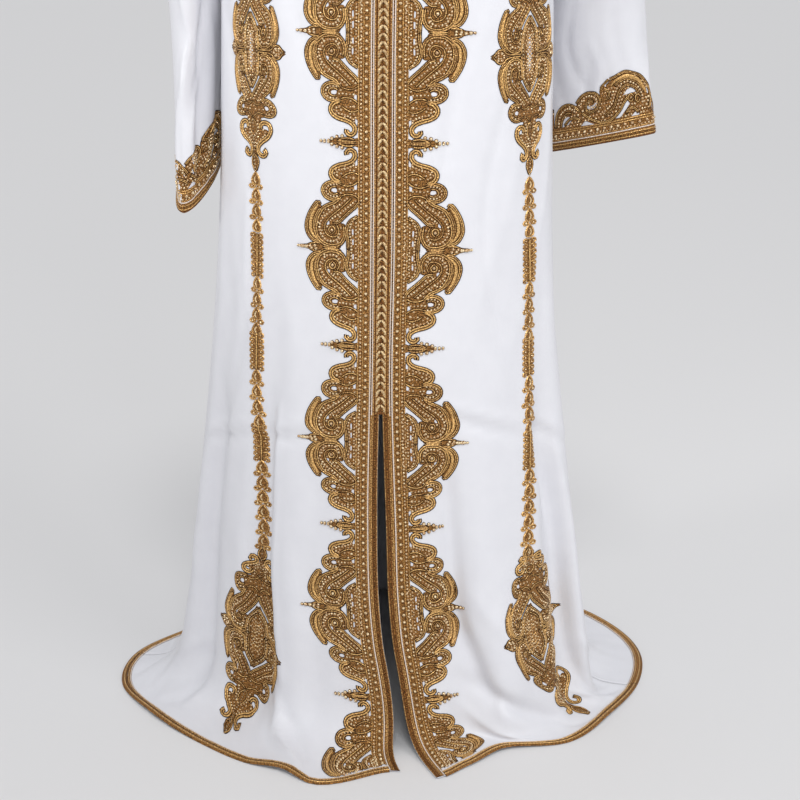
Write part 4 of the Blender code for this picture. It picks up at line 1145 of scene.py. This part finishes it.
# Front borders: a unit for each tip, reaching half-way to its neighbours. A unit is as wide as drawn where
# it's as long as usual, and narrower where it's shorter. Tips, lengths and reach are in metres.
borderTips = (0.086, 0.378, 0.663, 0.925, 1.160, 1.405)
borderUnit = dict(
    drawnHalf=131, usualHalf=0.137, drawnEdge=30, edge=0.030, reach=0.119, leastShare=0.75,
    eyes=((67, 22.5), (36.7, 88)), eyeSize=2.4, hemClear=0.0146, top=0.0158,
)
# The column beside the front band, in mm but for its steps: cords as (across, size), and beads as (start and
# pitch in metres, across). Each large bead stands in a ring of painted shade, and the ground strip under
# the column is partly painted shade between its beads.
edgeColumn = dict(
    ground=(13.9, 30.6), groundStep=0.005, groundLift=0.45,
    cords=((15.2, 0.7), (23.4, 0.6), (30.2, 0.7)), cordStep=0.004,
    large=(0.006, 0.0098, 19.5), largeSize=2.3, largeLift=1.4, largeTone=0.9, shadeRingSize=3.3, shadeRingDip=2.2,
    small=(0.004, 0.0049, 26.8), smallSize=1.7,
)


def borderPlace(tip, half, sign):
    unit = borderUnit
    share = unit["leastShare"] + (1 - unit["leastShare"]) * half / unit["usualHalf"]
    stretch = (unit["reach"] * share - unit["edge"]) / (unit["reach"] - unit["edge"])

    def place(points):
        q, p = points[:, 0], points[:, 1]
        stretched = unit["drawnEdge"] + (q - unit["drawnEdge"]) * stretch
        across = np.where(q < unit["drawnEdge"], q, stretched) * mm
        return np.stack([tip + sign * p / unit["drawnHalf"] * half, across], -1)

    return place


def border(side):
    cloth = cloths["front" + side]
    work = Work()
    end = cloth.down[-1]
    gaps = np.diff(borderTips)
    plates = ((scrollPlate, [scrollHole]), (earPlate, [earHole, earSlit]), (lensPlate, lensHoles),
              (hookPlate, [hookSlit]), (halfwayPlate, []), (finialPlate, []))
    fills = (scrollFill, earFill, lensFill, hookFill)
    for i, tip in enumerate(borderTips):
        # The lowest unit ends at the hem without a finial.
        lowest = i == len(borderTips) - 1
        lines = scroll + borderLines + (() if lowest else finialLines)
        for sign, half in ((-1, gaps[max(i - 1, 0)] / 2), (1, gaps[min(i, len(gaps) - 1)] / 2)):
            place = borderPlace(tip, half, sign)
            stamp(work, place, lines, plates[:-1] if lowest else plates, fills)
            work.beads(place(np.array(borderUnit["eyes"])), borderUnit["eyeSize"] * mm, bead)
    column = edgeColumn
    inner, outer = (lane(np.arange(0, end, column["groundStep"]), at * mm) for at in column["ground"])
    work.strip(inner, outer, column["groundLift"] * mm, ground)
    for at, size in column["cords"]:
        work.cord(lane((0, end), at * mm), size * mm, gold, step=column["cordStep"])
    start, pitch, at = column["large"]
    spots = lane(np.arange(start, end, pitch), at * mm)
    work.beads(spots, column["shadeRingSize"] * mm, shadeAndDots, -column["shadeRingDip"] * mm)
    work.beads(spots, column["largeSize"] * mm, bead, column["largeLift"] * mm, tone=column["largeTone"])
    start, pitch, at = column["small"]
    work.beads(lane(np.arange(start, end, pitch), at * mm), column["smallSize"] * mm, bead)
    return work.piece("frontBorder" + side, cloth, ["front_border_" + side.lower()],
                      clear=borderUnit["hemClear"], top=borderUnit["top"])


# The medallions and the chain lie on an axis down each front: how far across it is at each distance down.
Axis = namedtuple("Axis", "down left right")
axes = (
    Axis(0.25, 0.196, 0.197),
    Axis(0.41, 0.197, 0.200),
    Axis(0.47, 0.196, 0.2015),
    Axis(0.57, 0.192, 0.2055),
    Axis(0.74, 0.190, 0.2112),
    Axis(0.88, 0.190, 0.2136),
    Axis(1.02, 0.192, 0.2130),
    Axis(1.09, 0.1975, 0.2135),
    Axis(1.15, 0.209, 0.2175),
    Axis(1.21, 0.222, 0.2225),
    Axis(1.27, 0.239, 0.238),
    Axis(1.32, 0.260, 0.266),
    Axis(1.39, 0.290, 0.297),
)
# How far down each front a medallion's drawn distances come, in the order of the drawing.
Mark = namedtuple("Mark", "s left right")
lowerMarks = (
    Mark(-160, 1.100, 1.086),
    Mark(-137, 1.118, 1.098),
    Mark(-98, 1.139, 1.115),
    Mark(-76, 1.156, 1.133),
    Mark(-53, 1.187, 1.162),
    Mark(0, 1.233, 1.206),
    Mark(53, 1.282, 1.251),
    Mark(76, 1.303, 1.275),
    Mark(98, 1.322, 1.300),
    Mark(135, 1.357, 1.350),
    Mark(160, 1.379, 1.394),
)
upperMiddle = dict(left=0.410, right=0.4095)
upperLength = dict(left=0.00101, right=0.001)
upperMarks = tuple(
    Mark(s, *(upperMiddle[side] + s * upperLength[side] for side in ("left", "right")))
    for s in range(-160, 161, 40)
)
# A medallion's width to the inner and the outer side, and how much wider its foot is than its head.
Fit = namedtuple("Fit", "inner outer foot", defaults=(1,))
fits = {("upper", "left"): Fit(0.66, 0.52, 1.42), ("upper", "right"): Fit(0.65, 0.65),
        ("lower", "left"): Fit(0.78, 0.73), ("lower", "right"): Fit(0.58, 1.05)}
medallionCut = dict(
    # How the border's scrolls are taken over, and the share that a medallion's own lines are drawn at.
    scrollEdge=29, scrollStart=1, scrollLength=1.04, scrollSize=0.85, drawnShare=0.65, ownSize=0.9,
    reach=162, aim=0.025, footStart=58, footLength=30, hemClear=0.0146,
    # The lattice in the middle, in mm.
    latticeRows=range(-4, 5), latticePitch=6, latticeHalf=6, latticeRise=5, latticeCord=0.6, latticeBead=1.6,
)


def axisPoint(side, down):
    return np.stack([down, smooth(axes, "down", side, down)], -1)


# Four mirrored quarters round a lattice.
def medallion(side, name):
    work = Work()
    low = side.lower()
    marks = upperMarks if name == "upper" else lowerMarks
    fit = fits[name, low]
    cut = medallionCut

    def placed(signW, signS, fromBorder):
        def place(points):
            w, s = points[:, 0], points[:, 1]
            if fromBorder:
                w, s = w - cut["scrollEdge"], cut["scrollStart"] + s * cut["scrollLength"]
            down = smooth(marks, "s", low, np.clip(signS * s, -cut["reach"], cut["reach"]))
            run = axisPoint(low, down + cut["aim"]) - axisPoint(low, down - cut["aim"])
            run /= np.linalg.norm(run, axis=1, keepdims=True)
            over = np.stack([-run[:, 1], run[:, 0]], -1)
            wide = (fit.outer if signW > 0 else fit.inner) / (1 if fromBorder else cut["drawnShare"])
            foot = np.clip((s - cut["footStart"]) / cut["footLength"], 0, 1)
            wide = wide * (1 + (fit.foot - 1) * foot)
            return axisPoint(low, down) + over * (signW * w * wide * mm)[:, None]

        return place

    for signW in (-1, 1):
        for signS in (-1, 1):
            own, shared = placed(signW, signS, False), placed(signW, signS, True)
            stamp(work, shared, scroll, ((scrollPlate, [scrollHole]), (earPlate, [earHole])),
                  (scrollFill, earFill[::2]), cut["scrollSize"])
            stamp(work, own, medallionLines, ((almondPlates[name], []), (stemPlate, []), (lyrePlate, [])),
                  (almondFill, lyreFill), cut["ownSize"])
    place = placed(1, 1, False)
    middles = [k * cut["latticePitch"] for k in cut["latticeRows"]]
    half, rise = cut["latticeHalf"], cut["latticeRise"]
    for middle in middles:
        for sign in (-1, 1):
            bar = np.array([(sign * half, middle - rise), (-sign * half, middle + rise)], float)
            work.cord(place(bar), cut["latticeCord"] * mm, gold, taper=1)
    work.beads(place(np.array([(0, middle) for middle in middles], float)), cut["latticeBead"] * mm, bead)
    clear = cut["hemClear"] if name == "lower" else 0.0
    return work.piece(name + "Medallion" + side, cloths["front" + side], [name + "_medallion_" + low],
                      clear=clear)


# Buds down the axis and looped knots among them: places in metres down the front, drawing in mm.
chainCut = dict(
    start=0.5735, pitch=0.0213, widen=1.22, endClear=0.004, budClear=0.009, lobeClear=0.022,
    firstKnot=(0.6565, 0.716), knot=(0.664, 0.716), knotStep=0.129, knotClear=0.014,
    bud=((0, -1), (4.5, 5), (6.8, 11), (5.2, 15.5), (0, 17), (-5.2, 15.5), (-6.8, 11), (-4.5, 5), (0, -1)),
    lobe=((1.0, 19.2), (5, 16.4), (9.6, 17.0), (10.6, 19.6), (8, 22), (4, 21), (1.0, 19.2)),
    vein=((0, 5), (2.6, 10), (0, 15)), veinSize=1.4, veinTone=0.9, budSize=1.3, lobeSize=1.2,
    lobeBead=(6.4, 19.2), lobeBeadSize=2.0, plateLift=0.5,
    knotGround=(-8.5, -4.25, 0, 4.25, 8.5), groundStep=6.0, loopPitch=0.0078, loopSize=1.2,
    loop=((1.6, 1), (6, 0), (10, 1.6), (9.6, 5), (5, 6.4)), loopBead=(6.2, 3.2), loopBeadSize=1.5,
    spineShade=2.0, spineSize=1.5,
)


def chain(side):
    work = Work()
    low = side.lower()
    cut = chainCut
    last = lowerMarks[0]._asdict()[low]

    def place(points, start):
        down = start + points[:, 1] * mm
        return axisPoint(low, down) + np.stack([np.zeros(len(points)), points[:, 0] * cut["widen"] * mm], -1)

    # A shape of the drawing or its mirror image, and two beads either side of the axis.
    def shape(name, sign=1):
        return np.array(cut[name], float) * (sign, 1)

    def twoBeads(name, start):
        work.beads(place(np.stack([shape(name, -1), shape(name)]), start), cut[name + "Size"] * mm, bead)

    knots = [cut["firstKnot"]]
    for step in [cut["knotStep"] * k for k in (1, 2, 3)]:
        first, end = cut["knot"][0] + step, cut["knot"][1] + step
        if end + cut["knotClear"] < last:
            knots.append((first, end))
    bud = curve(cut["bud"])
    start = cut["start"]
    while start < last - cut["endClear"]:
        passed = [end for first, end in knots if first - cut["budClear"] < start < end]
        if passed:
            start = passed[0]
            continue
        # Buds, lobes and knots lie on plates in the ground look, partly painted shade between their cords.
        work.plate(place(bud[:-1], start), cut["plateLift"] * mm, ground)
        work.cord(place(bud, start), cut["budSize"] * mm, gold)
        work.cord(place(curve(cut["vein"]), start), cut["veinSize"] * mm, pale, tone=cut["veinTone"])
        if not any(first - cut["lobeClear"] < start < end for first, end in knots):
            for sign in (-1, 1):
                lobe = place(curve(shape("lobe", sign)), start)
                work.plate(lobe[:-1], cut["plateLift"] * mm, ground)
                work.cord(lobe, cut["lobeSize"] * mm, gold)
            twoBeads("lobeBead", start)
        start += cut["pitch"]
    for first, end in knots:
        spine = resampled(np.array([(0, 0), (0, (end - first) * 1000)], float), cut["groundStep"])
        for inner, outer in zip(cut["knotGround"], cut["knotGround"][1:]):
            edges = (place(spine + (edge, 0), first) for edge in (inner, outer))
            work.strip(*edges, cut["plateLift"] * mm, ground)
        for start in np.arange(first, end - cut["endClear"], cut["loopPitch"]):
            for sign in (-1, 1):
                work.cord(place(curve(shape("loop", sign)), start), cut["loopSize"] * mm, gold)
            twoBeads("loopBead", start)
        work.grooveShade(place(spine, first), cut["spineShade"] * mm)
        work.cord(place(spine, first), cut["spineSize"] * mm, gold)
    return work.piece("chain" + side, cloths["front" + side], ["chain_" + low])


# The cuff's drawing, in mm: first round the cuff from its inner fold, then up from its edge. It comes twice.
cuffLines = (
    Line("pair", 0.8, ((3, 34), (6, 52), (16, 64), (30, 66), (42, 60), (48, 52))),
    Line("cord", 0.9, ((14, 34), (17, 46), (25, 54), (34, 52))),
    Line("row", 1.7, ((9, 36), (12, 50), (21, 59), (31, 60), (39, 55))),
    Line("pair", 0.8, ((20, 36), (30, 44), (42, 44), (49, 38))),
    Line("pair", 0.8, ((43, 66), (52, 75), (64, 78), (76, 76), (82, 68), (80, 57), (72, 50), (62, 50),
                       (58, 56), (60, 64), (67, 67), (72, 62))),
    Line("row", 1.8, ((50, 60), (54, 70), (65, 73), (75, 69), (77, 60), (70, 55), (65, 59))),
    Line("pair", 0.8, ((52, 50), (64, 40), (76, 33), (85, 30.6), (96, 32), (107, 36), (118, 44), (127, 54),
                       (137, 62))),
    Line("pair", 0.8, ((88, 63), (100, 66), (98, 76), (85, 81), (100, 90), (112, 92), (124, 95), (137, 96),
                       (160, 85), (171, 68), (176, 51), (170, 36))),
    Line("row", 1.8, ((84, 46), (96, 50), (106, 58), (112, 70), (120, 79), (137, 82), (152, 73), (160, 58),
                      (158, 44))),
    Line("leaf", 2.6, ((106, 82), (118, 88), (137, 90), (156, 80), (167, 60))),
    Line("pair", 0.9, ((112, 80), (124, 85), (137, 86), (155, 77), (164, 62))),
    Line("pair", 0.9, ((88, 40), (100, 45), (110, 54), (116, 64), (124, 74), (137, 77), (150, 70),
                       (155, 60))),
    Line("cord", 0.9, ((146, 58), (140, 64), (134, 58), (140, 52), (144, 57))),
    Line("cord", 0.9, ((158, 55), (152, 61), (147, 55), (152, 49), (156, 54))),
    Line("pair", 0.75, ((128, 36), (134, 43), (144, 42), (150, 34))),
    Line("pair", 0.8, ((178, 33), (186, 48), (196, 59), (208, 61))),
    Line("row", 1.7, ((184, 35), (191, 47), (199, 54), (208, 56))),
)
cuffPlate = ((0, 29), (3, 36), (5, 52), (16, 65), (30, 67), (43, 62), (44, 68), (52, 76), (64, 79.5),
             (76, 78), (83, 69), (84, 81), (98, 84), (112, 93), (137, 97), (161, 86), (172, 68),
             (177, 50), (186, 50), (196, 60), (205, 62), (205, 29))
cuffHoles = (
    ((16, 34), (27, 36), (35, 44), (27, 49), (20, 46), (17, 40)),
    ((48, 31), (60, 31), (72, 29.5), (56, 38)),
    ((57, 60), (62, 54), (71, 53), (78, 58), (77, 64), (70, 58)),
    ((107, 33), (117, 33), (137, 50), (133, 55), (119, 44)),
    ((126, 64), (138, 64), (152, 65), (149, 72), (136, 72)),
    ((136, 31), (152, 31), (147, 38)),
)
cuffFill = scattered(cuffPlate, cuffHoles, allAlong(cuffLines), pitch=5.6, clear=2.8)
# The drawing starts this many metres round each cuff, runs backward on the left one, and is narrowed in its
# middle. Cords are (up, size) and beads (up, pitch, size), in mm.
cuffCut = dict(
    start=dict(Left=0.133, Right=0.0486), backward="Left", repeats=2,
    drawn=(0, 85, 176, 205), narrowed=(0, 85, 156, 205),
    ground=(13.7, 29), groundStep=0.004, groundPast=0.003, groundLift=0.45, cordStep=0.004,
    cords=((15.4, 0.8), (25.8, 0.9), (29.2, 1.0)), beads=((17.9, 5, 1.5), (22, 10.2, 2.6)), beadStart=0.002,
)


# The cloth round a cuff, from where its drawing starts.
def cuffCloth(side):
    turned = cloths["sleeve" + side].turnedRound()
    k = int(np.argmin(np.abs(turned.down - cuffCut["start"][side])))
    points, normals = (np.roll(grid[:-1], -k, axis=0) for grid in (turned.points, turned.normals))
    points, normals = (np.concatenate([grid, grid[:1]]) for grid in (points, normals))
    way = -1 if side == cuffCut["backward"] else 1
    return Cloth(points[::way], normals[::way])


def cuffWork(side):
    cloth = cuffCloth(side)
    work = Work()
    cut = cuffCut
    whole = cloth.down[-1]
    half = whole / cut["repeats"]
    for repeat in range(cut["repeats"]):
        def place(points):
            along = np.interp(points[:, 0], cut["drawn"], cut["narrowed"]) / cut["drawn"][-1]
            return np.stack([(repeat + along) * half, points[:, 1] * mm], -1)

        stamp(work, place, cuffLines, ((cuffPlate, cuffHoles),), (cuffFill,))
    around = np.arange(0, whole + cut["groundPast"], cut["groundStep"]).clip(0, whole)
    # The ground strip under the cuff's cords and beads is partly painted shade between them.
    work.strip(*(lane(around, up * mm) for up in cut["ground"]), cut["groundLift"] * mm, ground)
    for up, size in cut["cords"]:
        work.cord(lane((0, whole), up * mm), size * mm, gold, step=cut["cordStep"])
    for up, pitch, size in cut["beads"]:
        work.beads(lane(np.arange(cut["beadStart"], whole, pitch * mm), up * mm), size * mm, bead)
    return work.piece("cuffWork" + side, cloth, ["cuff_work_" + side.lower()])


# Braid bands: cords laid side by side on a strip. A rib's place from the cloth's edge, size and lift are in
# mm, and it may take another look below the closed front.
Rib = namedtuple("Rib", "at size look below lift", defaults=(None, 0.8))
# The strip under a band and its ribs in the ground and brown looks are partly the braid's own dark thread and
# partly painted shade between its cords.
frontRibs = (Rib(0.8, 0.8, gold), Rib(2.5, 0.8, brownAndShade), Rib(4.3, 1.0, ground), Rib(6.1, 0.8, brownAndShade),
             Rib(7.8, 0.8, gold), Rib(9.9, 0.8, piping, gold), Rib(13.1, 0.9, piping))
hemRibs = (Rib(0.3, 1.5, ground, None, -1.0), Rib(0.7, 0.7, ground), Rib(3.0, 1.3, gold),
           Rib(6.0, 1.3, ground), Rib(9.0, 1.3, gold), Rib(11.8, 0.8, piping))
cuffRibs = (Rib(0.3, 1.5, ground, None, -1.0), Rib(1.0, 0.8, brownAndShade), Rib(3.2, 1.2, gold),
            Rib(5.8, 1.2, ground), Rib(8.6, 1.3, gold), Rib(10.8, 0.7, ground), Rib(12.9, 0.9, piping))
bandCut = dict(
    slitTop=0.458,  # the front is closed above this height
    step=0.004, innerEdge=0.0001, lift=0.5, cordStep=0.0036,
    dots=11.5, dotStart=0.002, dotPitch=0.0042, dotSize=1.0, dotSides=5, hemStart=0.0145, neckStart=0.0143,
)


def slitDown():
    front = cloths["frontLeft"]
    return float(np.interp(-bandCut["slitTop"], -front.points[:, 0, 2], front.down))


slitTop = slitDown()


def band(name, cloth, node, ribs, width, start=0.0, dots=None):
    work = Work()
    cut = bandCut
    last = cloth.down[-1]
    downs = np.append(np.arange(start, last, cut["step"]), last)
    work.strip(lane(downs, cut["innerEdge"]), lane(downs, width), cut["lift"] * mm, ground)
    turn = min(slitTop, last)
    for rib in ribs:
        stretches = [(start, last, rib.look)]
        if rib.below is not None and turn < last:
            stretches = [(start, turn, rib.look), (turn, last, rib.below)]
        for first, end, look in stretches:
            work.cord(lane((first, end), rib.at * mm), rib.size * mm, look, lift=rib.lift * mm,
                      step=cut["cordStep"], taper=1)
    if dots:
        spots = lane(np.arange(start + cut["dotStart"], turn, cut["dotPitch"]), dots * mm)
        work.beads(spots, cut["dotSize"] * mm, shadeAndDots, around=cut["dotSides"])
    return work.piece(name, cloth, [node])


# The top of a panel as a cloth of its own: along the neckline, then down into the panel.
def neckCloth(cloth, columns):
    rows = slice(0, fine["upperRows"] + 1)
    points, normals = cloth.points[rows, columns], cloth.normals[rows, columns]
    return Cloth(points.transpose(1, 0, 2), normals.transpose(1, 0, 2))


# Strands of the plait on one side, out from its middle and down, in mm. They rise towards their start.
Strand = namedtuple("Strand", "points size look raised")
plait = dict(
    # Metres: the strip of cloth under it, and the steps along it.
    step=0.006, halfWidth=0.0078, middleWidth=0.004, past=0.01,
    baseStep=0.005, start=0.0005, pitch=0.0105, endClear=0.006, strandStep=0.0022,
    # Millimetres, and how a strand thins at its ends.
    base=1.9, baseHalf=6.4, sideCord=6.2, sideSize=0.9, sideSunk=0.3, high=1.1, sunk=0.5, taper=0.55,
    strands=(
        Strand(((0.5, 0.0), (2.9, 2.6), (4.9, 6.0), (5.2, 10.0)), 1.9, pale, 0.1),
        # This strand's dark ground look is painted shade inside each chevron.
        Strand(((0.6, 4.2), (2.3, 6.4), (2.9, 9.0), (2.6, 12.0)), 1.3, ground, -0.5),
    ),
)


# The closed front edges as one strip of cloth for the plait, all facing one way in each row.
def placket(end):
    downs = np.arange(0, end, plait["step"])
    one = np.ones_like(downs)
    inward = (plait["halfWidth"], plait["middleWidth"], 0)
    rows, tilts = [], []
    for cloth, places in ((cloths["frontLeft"], inward), (cloths["frontRight"], inward[::-1])):
        for across in places:
            rows.append(cloth.at(downs, one * across, one * 0.0)[0])
            tilts.append(cloth.at(downs, one * across, one * 1.0)[0] - rows[-1])
    points, normals = np.stack(rows, 1), np.stack(tilts, 1)
    normals[:] = normals.mean(axis=1, keepdims=True)
    return Cloth(points, normals / np.linalg.norm(normals, axis=2, keepdims=True))


def buttonPlait():
    cloth = placket(slitTop + plait["past"])
    work = Work()
    base = plait["base"] * mm
    downs = np.arange(0, slitTop, plait["baseStep"])
    middle = np.interp(downs, cloth.down, cloth.across[:, -1]) / 2
    half = plait["baseHalf"] * mm
    # The brown strip under the strands is painted shade in the plait's gaps.
    work.strip(lane(downs, middle - half), lane(downs, middle + half), base, brownAndShade)
    for sign in (-1, 1):
        path = lane(downs, middle + sign * plait["sideCord"] * mm)
        work.cord(path, plait["sideSize"] * mm, gold, lift=base - plait["sideSunk"] * mm)
    for start in np.arange(plait["start"], slitTop - plait["endClear"], plait["pitch"]):
        middle = float(np.interp(start, cloth.down, cloth.across[:, -1])) / 2
        for sign in (-1, 1):
            for strand in plait["strands"]:
                path = curve(strand.points)
                flat = np.stack([start + path[:, 1] * mm, middle + sign * path[:, 0] * mm], -1)
                high, sunk = (plait["high"] + strand.raised) * mm, (plait["sunk"] - strand.raised) * mm
                work.cord(flat, strand.size * mm, strand.look, lift=(base + high, base - sunk),
                          step=plait["strandStep"], parts=4, taper=plait["taper"])
    return work.piece("buttonPlait", cloth, ["button_plait"])


print("goldwork")
shells = {}
for name, node in (("frontLeft", "front_left"), ("frontRight", "front_right"), ("back", "back"),
                   ("sleeveLeft", "sleeve_left"), ("sleeveRight", "sleeve_right")):
    shells[name] = clothPiece("backPanel" if name == "back" else name, cloths[name], node, white)
onCloth = {name: [] for name in shells}
neckReach = body["neckColumns"] * fine["columns"]
for side in ("Left", "Right"):
    low = side.lower()
    front, cuff = cloths["front" + side], cloths["sleeve" + side].turnedRound()
    hem, neck = front.turnedRound(), neckCloth(front, slice(0, neckReach + 1))
    onCloth["front" + side] += [
        border(side),
        medallion(side, "upper"),
        medallion(side, "lower"),
        chain(side),
        band("frontBand" + side, front, "front_band_" + low, frontRibs, bandWidths["front"],
             dots=bandCut["dots"]),
        band("hemBand" + side, hem, "hem_band_" + low, hemRibs, bandWidths["hem"], bandCut["hemStart"]),
        band("neckBand" + side, neck, "neck_band_" + low, frontRibs, bandWidths["front"],
             bandCut["neckStart"]),
    ]
    onCloth["sleeve" + side] += [
        cuffWork(side),
        band("cuffBand" + side, cuff, "cuff_band_" + low, cuffRibs, bandWidths["cuff"]),
    ]
hem = cloths["back"].turnedRound()
middle = cloths["back"].points.shape[1] // 2
neck = neckCloth(cloths["back"], slice(middle - neckReach, middle + neckReach + 1))
onCloth["back"] += [
    band("hemBandBack", hem, "hem_band_back", hemRibs, bandWidths["hem"]),
    band("neckBandBack", neck, "neck_band_back", frontRibs, bandWidths["front"]),
]
buttonPlait()

for name, cloth in cloths.items():
    a, b = np.diff(cloth.points, axis=1)[:-1], np.diff(cloth.points, axis=0)[:, :-1]
    area = float(np.linalg.norm(np.cross(a, b), axis=2).sum())
    wide, long = float(cloth.across[:, -1].max()), float(cloth.down[-1])
    print(name, "area", round(area, 3), "of", round(wide, 3), "by", round(long, 3))

# Floor, light and camera.
print("stage")
studio = dict(
    floorSize=60, floorBack=8, floorColour=(0.76, 0.755, 0.758), floorRoughness=0.9,
    air=(0.97, 0.98, 1.0), airStrength=0.60,
    sensor=36, lens=95, camera=(0.017, -2.9, -0.12), tilt=73,
)
# Power is in watts, or the sun's strength. A size is in degrees for the sun and in metres for the others,
# and a cone is in degrees.
Lamp = namedtuple("Lamp", "name kind place aim power size cone", defaults=(None,))
lamps = (
    Lamp("keyLight", "SUN", (0.10, -1.6, 2.3), (0, 0, 0), 0.92, 18),
    Lamp("upperLight", "SPOT", (0.50, -2.9, 1.0), (0.24, 0, -0.08), 94, 0.3, 36),
    Lamp("sleeveLight", "SPOT", (-2.2, -1.3, 0.2), (-0.33, -0.05, -0.47), 88, 0.3, 26),
    Lamp("rightLight", "AREA", (2.2, -2.3, 1.0), (0.1, 0, -0.5), 25, 1.8),
    Lamp("lowLight", "SPOT", (0.12, -2.7, -0.75), (0.012, 0.0, -1.10), 20, 0.3, 28),
)


def plainLook(name, colour, roughness):
    made = bpy.data.materials.new(name)
    made.use_nodes = True
    shader = made.node_tree.nodes["Principled BSDF"]
    shader.inputs["Base Color"].default_value = (*colour, 1)
    shader.inputs["Roughness"].default_value = roughness
    return made


def light(lamp):
    data = bpy.data.lights.new(lamp.name, lamp.kind)
    data.energy = lamp.power
    if lamp.kind == "SUN":
        data.angle = math.radians(lamp.size)
    elif lamp.kind == "AREA":
        data.size = lamp.size
    else:
        data.shadow_soft_size = lamp.size
        data.spot_size = math.radians(lamp.cone)
        data.spot_blend = 1.0
    made = newObject(lamp.name, data)
    made.location = lamp.place
    made.rotation_mode = "QUATERNION"
    made.rotation_quaternion = (Vector(lamp.aim) - Vector(lamp.place)).to_track_quat("-Z", "Y")
    return made


bpy.ops.mesh.primitive_plane_add(size=studio["floorSize"],
                                 location=(0, studio["floorBack"], -body["neckBase"]))
floor = bpy.context.object
floor.name = "floor"
floor.data.materials.append(plainLook("paleFloor", studio["floorColour"], studio["floorRoughness"]))
key, upper, sleeveSide, rightSide, low = [light(lamp) for lamp in lamps]

world = bpy.data.worlds.new("studio")
world.use_nodes = True
world.node_tree.nodes["Background"].inputs["Color"].default_value = (*studio["air"], 1)
world.node_tree.nodes["Background"].inputs["Strength"].default_value = studio["airStrength"]
scene = bpy.context.scene
scene.world = world
scene.view_settings.view_transform = "Standard"

lens = bpy.data.cameras.new("view")
lens.sensor_width = studio["sensor"]
lens.lens = studio["lens"]
camera = newObject("view", lens)
camera.location = studio["camera"]
camera.rotation_euler = (math.radians(studio["tilt"]), 0, 0)
scene.camera = camera
